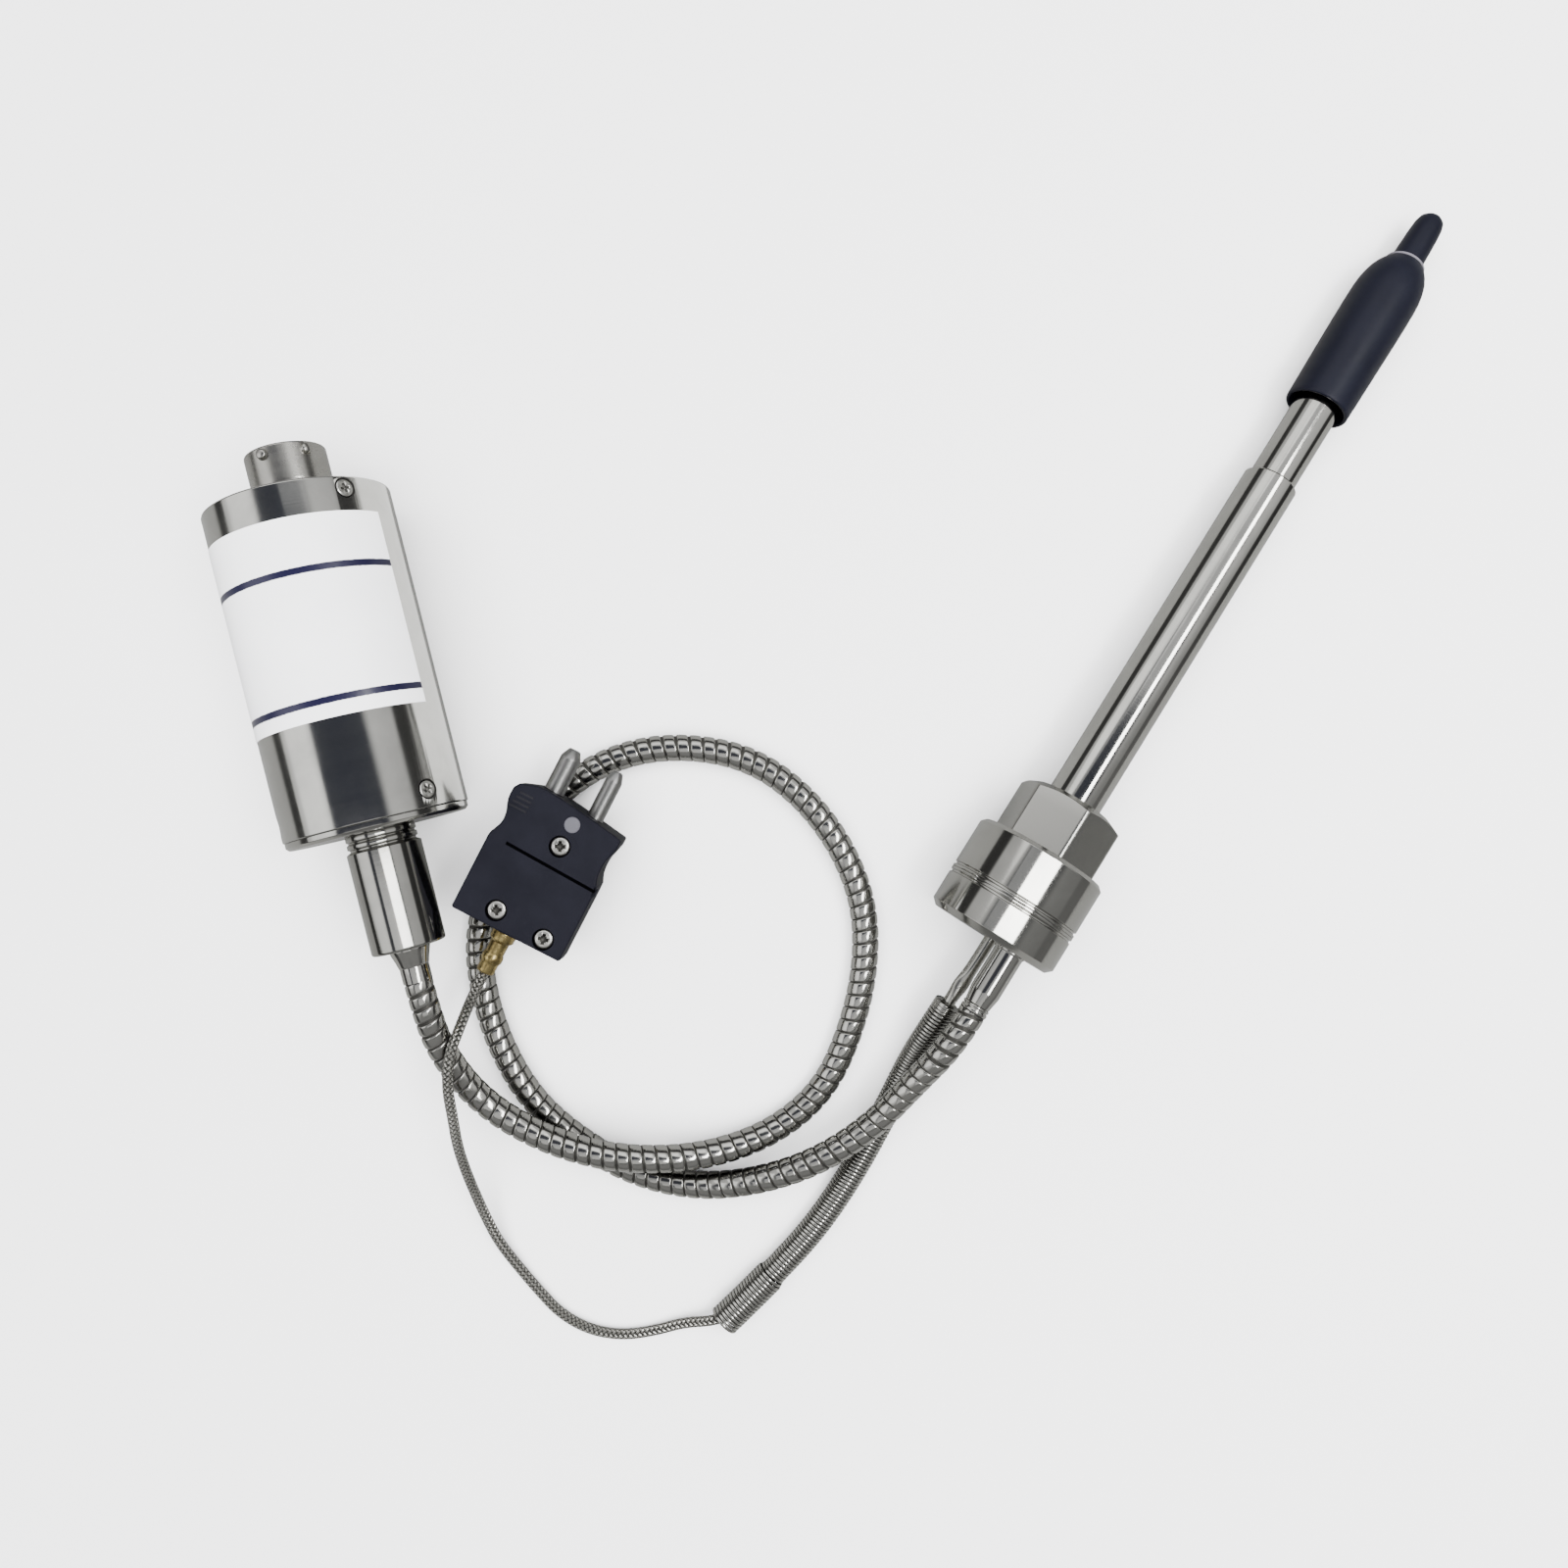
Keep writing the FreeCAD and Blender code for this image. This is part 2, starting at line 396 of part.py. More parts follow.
for y, r, name in ((PIN_Y[0], PIN_R[0], "plug_pin_negative"), (PIN_Y[1], PIN_R[1], "plug_pin_positive")):
    pin = turned([(0, 9.0), (r - 0.3, 9.0), (r - 0.3, PLUG_L), (r, PLUG_L), (r, PLUG_L + PIN_L - 1.6), ("arc", (r * 0.78, PLUG_L + PIN_L - 0.55), (r * 0.3, PLUG_L + PIN_L)), (0, PLUG_L + PIN_L)])
    pin = at(pin, frame((0, -y, 0), (1, 0, 0), (0, 0, 1)))
    hole = at(cyl(r - 0.3, 8.9, PLUG_L + 5), frame((0, -y, 0), (1, 0, 0), (0, 0, 1)))
    base, cover = base.cut(hole), cover.cut(hole)
    ts = Part.makeCylinder(1.0, 2.6, V(12.0, -y, r - 1.3), V(0, 0, 1))
    pin = pin.cut(Part.makeCylinder(1.0, 2.6, V(12.0, -y, r - 1.3), V(0, 0, 1)))
    cover = cover.cut(Part.makeCylinder(1.3, 4.0, V(12.0, -y, 0), V(0, 0, 1)))
    pins.append(at(ts, G))
    keep(name, at(pin, G))
keep("terminal_screws", *pins)
screws = []
for k, (x, y) in enumerate(((3.9, -4.1), (2.9, 8.2), (23.05, 2.05))):
    head = turned([(0, half - 0.35 - 1.5), (2.2, half - 0.35 - 1.5), (2.2, half - 0.75), ("arc", (2.0, half - 0.48), (1.7, half - 0.35)), (0, half - 0.35)])
    shank = cyl(1.1, -3.5, half - 1.85)
    s = head.fuse(shank).removeSplitter()
    for w, dd in ((0.5, 2.2), (2.2, 0.5)):
        s = s.cut(Part.makeBox(dd, w, 0.9, V(-dd / 2, -w / 2, half - 1.2)))
    s.translate(V(x, -y, 0))
    hole = cyl(2.3, half - 1.85, half + 1, x, -y).fuse(cyl(1.1, -3.5, half, x, -y))
    cover, base = cover.cut(hole), base.cut(hole)
    screws.append(at(s, G))
keep("plug_rear_screws", screws[0], screws[1])
keep("plug_cover_screw", screws[2])
dot = cyl(2.0, half - 0.5, half - 0.02, 28.4, -2.3)
cover = cover.cut(cyl(2.0, half - 0.5, half + 1, 28.4, -2.3))
keep("polarity_dot", at(dot, G))

# brass ferrule at the back of the plug, and the lead that ends in it
FER_Y, FER_L = -0.95, 10.4
fer = turned([(0.7, 2.5), (1.9, 2.5), (1.9, -0.7), (2.9, -0.7), (2.8, -3.2), (2.25, -6.6), (2.1, -0.7 - FER_L), (0.7, -0.7 - FER_L)])
FP = frame((0, -FER_Y, 0), (1, 0, 0), (0, 0, 1))
hole = at(cyl(1.9, -3, 6.5), FP)
base, cover = base.cut(hole), cover.cut(hole)
keep("lead_ferrule", at(at(fer, FP), G))
keep("plug_base", at(base, G))
keep("plug_cover", at(cover, G))
fe = G.multVec(V(-0.7 - FER_L, -FER_Y, 0))
fi = G.multVec(V(-0.7 - FER_L - 6.0, -FER_Y, 0))
lead_pts = LEAD + [(fi.x, fi.y, fi.z), (fe.x, fe.y, fe.z)]
keep("thermocouple_lead", swept(lead_pts, LEAD_D / 2, "thermocouple_lead"))

# ---------------------------------------------------------------- protective cap
c0, c1 = CAP_T0, CAP_T1
cap = turned([(6.65, c0), (CAP_R - 0.4, c0), ("arc", (CAP_R - 0.1, c0 + 0.12), (CAP_R, c0 + 0.5)), (CAP_R, 138.6),
              ("arc", (6.9, 143.6), (4.3, 147.6)), (3.7, 148.1), ("arc", (4.0, 148.6), (3.7, 149.1)), (3.15, 149.3),
              (2.8, c1 - 1.7), ("arc", (2.35, c1 - 0.55), (1.3, c1)), (0, c1), (0, 141.0), (4.5, 141.0), (4.5, 134.0), (6.65, 131.6)])
keep("protective_cap", at(cap, S))

# ---------------------------------------------------------------- export
cords = ("flexible_hose", "pressure_capillary", "lead_spring", "thermocouple_lead", "lead_ferrule", "plug_base", "plug_cover",
         "plug_pin_negative", "plug_pin_positive", "terminal_screws", "plug_rear_screws", "plug_cover_screw", "polarity_dot",
         "lead_outlet_tube")
lo, hi = [1e9] * 3, [-1e9] * 3
for name, s in sorted(parts.items()):
    if not s.isValid():
        print("NOT VALID", name)
    b = s.optimalBoundingBox(False) if hasattr(s, "optimalBoundingBox") else s.BoundBox
    if name not in cords:
        lo = [min(a, c) for a, c in zip(lo, (b.XMin, b.YMin, b.ZMin))]
        hi = [max(a, c) for a, c in zip(hi, (b.XMax, b.YMax, b.ZMax))]
    print("%-24s solids %d  volume %9.2f  z %.2f..%.2f" % (name, len(s.Solids), s.Volume, b.ZMin, b.ZMax))
    s.exportStep("parts/%s.step" % name)
print("box without the cord's pieces", [round(v, 3) for v in lo], [round(v, 3) for v in hi])
print("base centre is off by", round((lo[0] + hi[0]) / 2, 3), round((lo[1] + hi[1]) / 2, 3), round(lo[2], 3))
print(len(parts), "nodes")
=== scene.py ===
import json
import math
import bpy
import bmesh
import numpy as np
from mathutils import Matrix, Vector

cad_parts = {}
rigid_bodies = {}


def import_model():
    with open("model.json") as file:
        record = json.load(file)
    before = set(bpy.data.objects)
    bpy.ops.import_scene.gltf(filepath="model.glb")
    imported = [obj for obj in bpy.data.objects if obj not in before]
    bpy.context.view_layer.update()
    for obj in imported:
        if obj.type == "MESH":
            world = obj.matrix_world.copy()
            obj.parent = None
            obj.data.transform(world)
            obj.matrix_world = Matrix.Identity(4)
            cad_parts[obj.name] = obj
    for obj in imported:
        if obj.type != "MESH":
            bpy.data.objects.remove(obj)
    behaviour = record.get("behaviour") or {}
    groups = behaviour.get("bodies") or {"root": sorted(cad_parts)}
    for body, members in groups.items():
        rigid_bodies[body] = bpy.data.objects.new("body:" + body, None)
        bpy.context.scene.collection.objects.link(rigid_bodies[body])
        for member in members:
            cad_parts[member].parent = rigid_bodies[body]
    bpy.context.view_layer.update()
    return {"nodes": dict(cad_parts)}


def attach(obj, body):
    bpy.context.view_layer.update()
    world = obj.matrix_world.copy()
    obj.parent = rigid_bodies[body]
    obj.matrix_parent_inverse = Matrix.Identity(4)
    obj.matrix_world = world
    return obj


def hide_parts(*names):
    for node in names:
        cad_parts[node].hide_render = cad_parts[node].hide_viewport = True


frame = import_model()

MM = 0.001
OX, OY = 34.038, 12.160      # base centre of the object in the layout that the numbers below are in, mm
D = bpy.data


def place(x, y, z):
    return Vector(((x - OX) * MM, (y - OY) * MM, z * MM))


# ------------------------------------------------------------------ camera
cam = D.objects.new("camera", D.cameras.new("camera"))
bpy.context.scene.collection.objects.link(cam)
right, up = Vector((0.969, -0.245, 0)).normalized(), Vector((0.245, 0.969, 0)).normalized()
m = Matrix.Identity(4)
for i, c in enumerate((right, up, Vector((0, 0, 1)), place(0, 0, 282.0))):
    m[0][i], m[1][i], m[2][i] = c
cam.matrix_world = m
cam.data.lens = 27.0
cam.data.sensor_width = 36.0
cam.data.shift_y = -0.0175
cam.data.clip_start = 0.01
cam.data.clip_end = 20
bpy.context.scene.camera = cam


# ------------------------------------------------------------------ materials
def sock(n, names):
    for k in names:
        if k in n.inputs:
            return n.inputs[k]


class Mat:
    def __init__(self, name, color=(0.8, 0.8, 0.8), rough=0.4, metal=0.0, **kw):
        self.m = D.materials.new(name)
        self.m.use_nodes = True
        self.t = self.m.node_tree
        self.b = self.t.nodes["Principled BSDF"]
        self.b.inputs["Base Color"].default_value = (*color, 1)
        self.b.inputs["Roughness"].default_value = rough
        self.b.inputs["Metallic"].default_value = metal
        for k, v in kw.items():
            self.b.inputs[k.replace("_", " ")].default_value = v
        self.m.diffuse_color = (*color, 1)

    def node(self, kind, **kw):
        n = self.t.nodes.new(kind)
        for k, v in kw.items():
            setattr(n, k, v)
        return n

    def link(self, a, b):
        self.t.links.new(a, b)

    def coords(self, scale=(1, 1, 1), kind="Object"):
        c = self.node("ShaderNodeTexCoord")
        mp = self.node("ShaderNodeMapping")
        mp.inputs["Scale"].default_value = scale
        self.link(c.outputs[kind], mp.inputs["Vector"])
        return mp.outputs["Vector"]

    def noise(self, vec, scale=5.0, detail=4.0, rough=0.55, distort=0.0):
        n = self.node("ShaderNodeTexNoise")
        n.inputs["Scale"].default_value = scale
        n.inputs["Detail"].default_value = detail
        n.inputs["Roughness"].default_value = rough
        n.inputs["Distortion"].default_value = distort
        self.link(vec, n.inputs["Vector"])
        return n.outputs["Fac"]

    def ramp(self, fac, stops, interp="LINEAR"):
        r = self.node("ShaderNodeValToRGB")
        r.color_ramp.interpolation = interp
        el = r.color_ramp.elements
        while len(el) < len(stops):
            el.new(0.5)
        for e, (p, c) in zip(el, stops):
            e.position = p
            e.color = (c, c, c, 1) if isinstance(c, (int, float)) else (*c, 1)
        self.link(fac, r.inputs["Fac"])
        return r.outputs["Color"]

    def span(self, fac, lo, hi, a=0.0, b=1.0):
        r = self.node("ShaderNodeMapRange")
        for k, v in (("From Min", lo), ("From Max", hi), ("To Min", a), ("To Max", b)):
            r.inputs[k].default_value = v
        self.link(fac, r.inputs["Value"])
        return r.outputs["Result"]

    def math(self, op, a, b=None):
        n = self.node("ShaderNodeMath", operation=op)
        for i, v in enumerate((a, b)):
            if v is None:
                continue
            if isinstance(v, (int, float)):
                n.inputs[i].default_value = v
            else:
                self.link(v, n.inputs[i])
        return n.outputs[0]

    def mix(self, fac, a, b):
        n = self.node("ShaderNodeMix", data_type="RGBA")
        for i, v in (("Factor", fac),):
            if isinstance(v, (int, float)):
                n.inputs[0].default_value = v
            else:
                self.link(v, n.inputs[0])
        for idx, v in ((6, a), (7, b)):
            if isinstance(v, tuple):
                n.inputs[idx].default_value = (*v, 1)
            else:
                self.link(v, n.inputs[idx])
        return n.outputs[2]

    def bump(self, height, strength=0.2, dist=0.0002, normal=None):
        n = self.node("ShaderNodeBump")
        n.inputs["Strength"].default_value = strength
        n.inputs["Distance"].default_value = dist
        self.link(height, n.inputs["Height"])
        if normal is not None:
            self.link(normal, n.inputs["Normal"])
        return n.outputs["Normal"]

    def set(self, name, out):
        self.link(out, self.b.inputs[name])


OVERHEAD = 1.95  # how much brighter the overhead light is than the one the dark tones were matched under


def turned_metal(name, color, rough, streak=0.10, along=1.0, aniso=0.6, fine=2600.0, bump=0.05, tint=0.06, axis="Z", spot=0.06):
    """Metal turned on a lathe about local Z: fine rings round it, streaks of tone along the rings, a light haze of handling marks."""
    a = Mat(name, color, rough, 1.0, Anisotropic=aniso)
    a.b.inputs["Anisotropic Rotation"].default_value = 0.25
    rings = a.noise(a.coords((60, 60, fine)), 1.0, 3.0, 0.6)
    broad = a.noise(a.coords((30, 30, 240)), 1.0, 3.0, 0.6)
    haze = a.noise(a.coords((1, 1, 1)), 90.0, 5.0, 0.62, 0.4)
    spots = a.noise(a.coords((1, 1, 1)), 700.0, 2.0, 0.5)
    r = a.span(broad, 0.25, 0.75, rough - streak * 0.5, rough + streak * 0.5)
    r2 = a.math("ADD", r, a.span(haze, 0.40, 0.75, 0.0, streak * 0.9))
    r3 = a.math("ADD", r2, a.span(spots, 0.66, 0.80, 0.0, spot))
    a.set("Roughness", r3)
    dark = tuple(c * (1 - tint * 2.2) for c in color)
    lite = tuple(min(1, c * (1 + tint)) for c in color)
    a.set("Base Color", a.mix(a.span(haze, 0.3, 0.75), lite, dark))
    a.set("Normal", a.bump(rings, bump, 0.00012))
    tg = a.node("ShaderNodeTangent", direction_type="RADIAL", axis=axis)
    a.link(tg.outputs[0], a.b.inputs["Tangent"])
    return a.m


def drawn_metal(name, color, rough=0.25, shade_gaps=True, bump=0.12, gap=(0.035, 0.034, 0.030), ao_shade=0.0, patch=0.18, vary=0.17):
    """Formed strip or wire: bright on its crowns, dull down in its gaps. Painted shade darkens its colour in the gaps,
    by the depth stored on the mesh, and where the surface is closed in.
    """
    a = Mat(name, color, rough, 1.0)
    haze = a.noise(a.coords((1, 1, 1)), 260.0, 4.0, 0.6)
    fine = a.noise(a.coords((1, 1, 1)), 2400.0, 2.0, 0.6)
    col = a.mix(a.span(haze, 0.3, 0.75), tuple(min(1, c * 1.06) for c in color), tuple(c * (1 - patch) for c in color))
    if ao_shade:
        # painted shade: by ambient occlusion the colour darkens where the surface is closed in, along the gaps and next
        # to the floor
        ao = a.node("ShaderNodeAmbientOcclusion", samples=8)
        ao.inputs["Distance"].default_value = 7.0 * MM
        col = a.mix(a.span(ao.outputs["AO"], 0.42, 0.92, ao_shade, 0.0), col, (0.055, 0.053, 0.047))
    if shade_gaps:
        # painted shade: the colour goes dark down in the gaps, by the depth stored on the mesh
        at = a.node("ShaderNodeAttribute", attribute_name="depth")
        col = a.mix(at.outputs["Fac"], col, gap)
        a.set("Roughness", a.math("ADD", a.span(haze, 0.3, 0.8, rough - 0.3 * vary, rough + 0.7 * vary), a.math("MULTIPLY", at.outputs["Fac"], 0.45)))
    else:
        a.set("Roughness", a.span(haze, 0.3, 0.8, rough - 0.3 * vary, rough + 0.7 * vary))
    a.set("Base Color", col)
    a.set("Normal", a.bump(fine, bump, 0.00005))
    return a.m


def moulded(name, color, rough=0.45, spec=0.5, grain=1500.0, bump=0.15, blotch=0.25, dist=0.00008, dusty=0.22, **kw):
    color = tuple(c / OVERHEAD for c in color)
    a = Mat(name, color, rough, 0.0, **kw)
    a.b.inputs["Specular IOR Level"].default_value = spec
    g = a.noise(a.coords(), grain, 3.0, 0.6)
    h = a.noise(a.coords(), 110.0, 4.0, 0.6)
    dust = a.noise(a.coords(), 900.0, 2.0, 0.5)
    c1 = a.mix(a.span(h, 0.3, 0.75), tuple(c * (1 - blotch) for c in color), tuple(min(1, c * (1 + blotch)) for c in color))
    a.set("Base Color", a.mix(a.span(dust, 0.70, 0.84, 0.0, dusty), c1, tuple(min(1.0, c * 1.9 + 0.012 / OVERHEAD) for c in color)))
    a.set("Roughness", a.span(h, 0.3, 0.8, rough - 0.06, rough + 0.10))
    a.set("Normal", a.bump(g, bump, dist))
    return a.m


STEEL = (0.50, 0.496, 0.465)
m_housing = turned_metal("steel_housing", (0.50, 0.497, 0.472), 0.12, 0.05, aniso=0.2, bump=0.03, spot=0.02)
m_turned = turned_metal("steel_turned", (0.45, 0.446, 0.42), 0.11, 0.05, aniso=0.5, bump=0.04, spot=0.02)
m_stem = turned_metal("steel_stem", (0.47, 0.466, 0.438), 0.10, 0.04, aniso=0.4, bump=0.03, spot=0.02)
m_hexflat = Mat("steel_hex", (0.36, 0.357, 0.335), 0.26, 1.0).m
m_collar = turned_metal("steel_collar", (0.40, 0.397, 0.373), 0.10, 0.03, aniso=0.5, bump=0.03, spot=0.0)
m_neck = turned_metal("steel_neck", (0.37, 0.367, 0.345), 0.11, 0.03, aniso=0.4, bump=0.03, spot=0.0)
m_screw = turned_metal("screw_plating", (0.64, 0.635, 0.60), 0.30, 0.10, aniso=0.0, bump=0.04)
# painted shade: a dark steel for the faces inside the screw recesses and the pockets round the housing's screws
m_recess = turned_metal("recess_shade", (0.11, 0.108, 0.10), 0.42, 0.10, aniso=0.0, bump=0.03)
m_shell = turned_metal("receptacle_plating", (0.42, 0.412, 0.385), 0.25, 0.12, aniso=0.3, bump=0.08)
m_hose = drawn_metal("hose_strip", (0.44, 0.436, 0.41), 0.13, bump=0.01, gap=(0.09, 0.088, 0.080), ao_shade=0.85, patch=0.06, vary=0.05)
m_spring = drawn_metal("spring_wire", (0.50, 0.496, 0.465), 0.12, bump=0.005, gap=(0.015, 0.015, 0.013), ao_shade=0.55, patch=0.04, vary=0.03)
m_sheath = drawn_metal("drawn_tube", (0.46, 0.455, 0.42), 0.22, shade_gaps=False)
m_pin = drawn_metal("pin_metal", (0.31, 0.31, 0.305), 0.36, shade_gaps=False)
m_plug = moulded("plug_moulding", (0.0098, 0.0100, 0.0152), 0.50, 0.07, 2600.0, 0.20, 0.2, dusty=0.12)
# painted shade: a near-black moulding for the walls of the plug's screw pockets and its groove
m_groove = moulded("plug_groove_shade", (0.0008, 0.0008, 0.0012), 0.85, 0.02, 900.0, 0.1, 0.1, dusty=0.0)
m_grip = moulded("plug_grip_moulding", (0.0165, 0.0165, 0.0205), 0.55, 0.12, 2600.0, 0.2, 0.2)
m_cap = moulded("cap_vinyl", (0.0045, 0.0051, 0.0125), 0.46, 0.24, 1400.0, 0.05, 0.15, 0.00004, dusty=0.0)
m_dot = moulded("dot_inlay", (0.112, 0.110, 0.130), 0.55, 0.3, 1800.0, 0.2, 0.08)
m_rubber = moulded("seal_rubber", (0.02, 0.02, 0.02), 0.6, 0.3, 900.0, 0.2, 0.2)
m_insert = moulded("insert_rubber", (0.035, 0.035, 0.04), 0.5, 0.4, 1200.0, 0.15, 0.2)
m_board = moulded("board_laminate", (0.03, 0.20, 0.09), 0.35, 0.5, 900.0, 0.1, 0.15)
m_comp = moulded("component_body", (0.03, 0.03, 0.03), 0.5, 0.4, 1200.0, 0.15, 0.2)
m_wire = moulded("wire_insulation", (0.75, 0.74, 0.70), 0.4, 0.4, 900.0, 0.1, 0.08)
m_gold = turned_metal("contact_plating", (0.85, 0.64, 0.30), 0.20, 0.08, aniso=0.0, bump=0.02)


def brass_material():
    a = Mat("ferrule_brass", (0.45, 0.35, 0.14), 0.26, 1.0)
    haze = a.noise(a.coords(), 420.0, 4.0, 0.65)
    rings = a.noise(a.coords((60, 60, 2600)), 1.0, 3.0, 0.6)
    a.set("Base Color", a.mix(a.span(haze, 0.35, 0.66), (0.58, 0.46, 0.20), (0.17, 0.125, 0.05)))
    a.set("Roughness", a.span(haze, 0.3, 0.75, 0.18, 0.42))
    a.set("Normal", a.bump(rings, 0.1, 0.00012))
    return a.m


m_brass = brass_material()


def label_material(z_lines, half):
    """White film label, bare but for a navy rule near each end."""
    a = Mat("label_film", (0.86, 0.865, 0.88), 0.34, 0.0)
    a.b.inputs["Specular IOR Level"].default_value = 0.45
    a.b.inputs["Coat Weight"].default_value = 0.25
    a.b.inputs["Coat Roughness"].default_value = 0.18
    c = a.node("ShaderNodeTexCoord")
    s = a.node("ShaderNodeSeparateXYZ")
    a.link(c.outputs["Object"], s.inputs[0])
    edge = a.noise(a.coords(), 1500.0, 2.0, 0.5)
    wob = a.span(edge, 0.3, 0.7, -0.00004, 0.00004)
    fac = None
    for z in z_lines:
        d = a.math("ABSOLUTE", a.math("SUBTRACT", a.math("ADD", s.outputs["Z"], wob), z))
        k = a.span(d, half - 0.00006, half + 0.00006, 1.0, 0.0)
        fac = k if fac is None else a.math("MAXIMUM", fac, k)
    tone = a.noise(a.coords(), 70.0, 3.0, 0.5)
    white = a.mix(a.span(tone, 0.35, 0.7), (0.88, 0.885, 0.90), (0.83, 0.835, 0.855))
    a.set("Base Color", a.mix(fac, white, tuple(c / OVERHEAD for c in (0.006, 0.005, 0.034))))
    paper = a.noise(a.coords(), 2200.0, 2.0, 0.5)
    a.set("Normal", a.bump(paper, 0.05, 0.00005))
    return a.m


def braid_material():
    """Fine woven wire over the lead: two sets of strands crossing, laid out in the mesh's own UVs."""
    a = Mat("braid_wire", (0.52, 0.51, 0.47), 0.34, 1.0)
    c = a.node("ShaderNodeTexCoord")
    s = a.node("ShaderNodeSeparateXYZ")
    a.link(c.outputs["UV"], s.inputs[0])
    u, v = s.outputs["X"], s.outputs["Y"]
    up_ = a.math("ADD", a.math("MULTIPLY", u, 6.0), a.math("MULTIPLY", v, 6.0))
    dn_ = a.math("SUBTRACT", a.math("MULTIPLY", u, 6.0), a.math("MULTIPLY", v, 6.0))
    w1 = a.math("ABSOLUTE", a.math("SUBTRACT", a.math("FRACT", up_), 0.5))
    w2 = a.math("ABSOLUTE", a.math("SUBTRACT", a.math("FRACT", dn_), 0.5))
    pick = a.math("GREATER_THAN", a.math("FRACT", a.math("MULTIPLY", a.math("ADD", a.math("FLOOR", up_), a.math("FLOOR", dn_)), 0.5)), 0.25)
    h1 = a.math("SUBTRACT", 1.0, a.math("MULTIPLY", w1, 2.0))
    h2 = a.math("SUBTRACT", 1.0, a.math("MULTIPLY", w2, 2.0))
    n = a.node("ShaderNodeMix")
    a.link(pick, n.inputs[0])
    a.link(h1, n.inputs[2])
    a.link(h2, n.inputs[3])
    h = n.outputs[0]
    strands = a.noise(a.coords(), 3800.0, 2.0, 0.5)
    # painted shade: the colour goes near black where the strands dip under one another
    a.set("Base Color", a.mix(a.span(h, 0.12, 0.62), (0.035, 0.034, 0.030), (0.56, 0.55, 0.51)))
    a.set("Roughness", a.span(strands, 0.3, 0.7, 0.26, 0.42))
    n1 = a.bump(h, 1.0, 0.0003)
    a.set("Normal", a.bump(strands, 0.2, 0.00004, n1))
    return a.m


m_braid = braid_material()
HL = 72.6
m_label = label_material((26.35 * MM, 53.65 * MM), 0.72 * MM)


# ------------------------------------------------------------------ mesh helpers
def axes(origin, z, x):
    z = Vector(z).normalized()
    x = Vector(x)
    x = (x - z * x.dot(z)).normalized()
    y = z.cross(x)
    mm = Matrix.Identity(4)
    for i, c in enumerate((x, y, z, place(*origin))):
        mm[0][i], mm[1][i], mm[2][i] = c
    return mm


def make(name, verts, faces, mat, mw=None, smooth=True, sharp=None, slot=None, body="instrument", stands_for=(), bevel=0.0, weighted=False, segs=2):
    me = D.meshes.new(name)
    me.from_pydata([tuple(v) for v in verts], [], [tuple(f) for f in faces])
    me.validate(clean_customdata=False)
    bm = bmesh.new()
    bm.from_mesh(me)
    bmesh.ops.recalc_face_normals(bm, faces=bm.faces)
    bm.to_mesh(me)
    bm.free()
    return finish_mesh(name, me, mat, mw, smooth, sharp, body, stands_for, bevel, weighted, segs)


def finish_mesh(name, me, mat, mw=None, smooth=True, sharp=None, body="instrument", stands_for=(), bevel=0.0, weighted=False, segs=2):
    if smooth:
        me.shade_smooth()
        if sharp is not None:
            me.set_sharp_from_angle(angle=math.radians(sharp))
    for mt in (mat if isinstance(mat, (list, tuple)) else [mat]):
        me.materials.append(mt)
    o = D.objects.new(name, me)
    bpy.context.scene.collection.objects.link(o)
    if mw is not None:
        o.matrix_world = mw
    if bevel:
        b = o.modifiers.new("bevel", "BEVEL")
        b.width = bevel * MM
        b.segments = segs
        b.limit_method = "ANGLE"
        b.angle_limit = math.radians(32)
        b.use_clamp_overlap = True
        b.harden_normals = False
    if weighted:
        w = o.modifiers.new("normals", "WEIGHTED_NORMAL")
        w.weight = 60
        w.keep_sharp = False
    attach(o, body)
    if stands_for:
        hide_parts(*stands_for)
    return o


def lathe_data(prof, segs, closed=False):
    """prof: (r, z) in mm. Points with r == 0 close to a single vertex."""
    verts, faces, rings = [], [], []
    for r, z in prof:
        if r < 1e-6:
            rings.append([len(verts)])
            verts.append((0, 0, z * MM))
        else:
            ring = []
            for k in range(segs):
                a = 2 * math.pi * k / segs
                ring.append(len(verts))
                verts.append((r * MM * math.cos(a), r * MM * math.sin(a), z * MM))
            rings.append(ring)
    pairs = list(zip(rings, rings[1:]))
    if closed:
        pairs.append((rings[-1], rings[0]))
    for a, b in pairs:
        if len(a) == 1 and len(b) == 1:
            continue
        for k in range(segs):
            k2 = (k + 1) % segs
            if len(a) == 1:
                faces.append((a[0], b[k], b[k2]))
            elif len(b) == 1:
                faces.append((a[k], a[k2], b[0]))
            else:
                faces.append((a[k], a[k2], b[k2], b[k]))
    return verts, faces


def lathe(name, prof, mat, mw, segs=128, closed=True, bevel=0.12, **kw):
    v, f = lathe_data(prof, segs, closed)
    return make(name, v, f, mat, mw, bevel=bevel, weighted=True, **kw)


def arc(c, r, a0, a1, n):
    return [(c[0] + r * math.cos(math.radians(a0 + (a1 - a0) * k / n)), c[1] + r * math.sin(math.radians(a0 + (a1 - a0) * k / n))) for k in range(n + 1)]


def real_mesh(o):
    """The object's mesh with its modifiers applied."""
    dg = bpy.context.evaluated_depsgraph_get()
    return D.meshes.new_from_object(o.evaluated_get(dg), preserve_all_data_layers=True, depsgraph=dg)


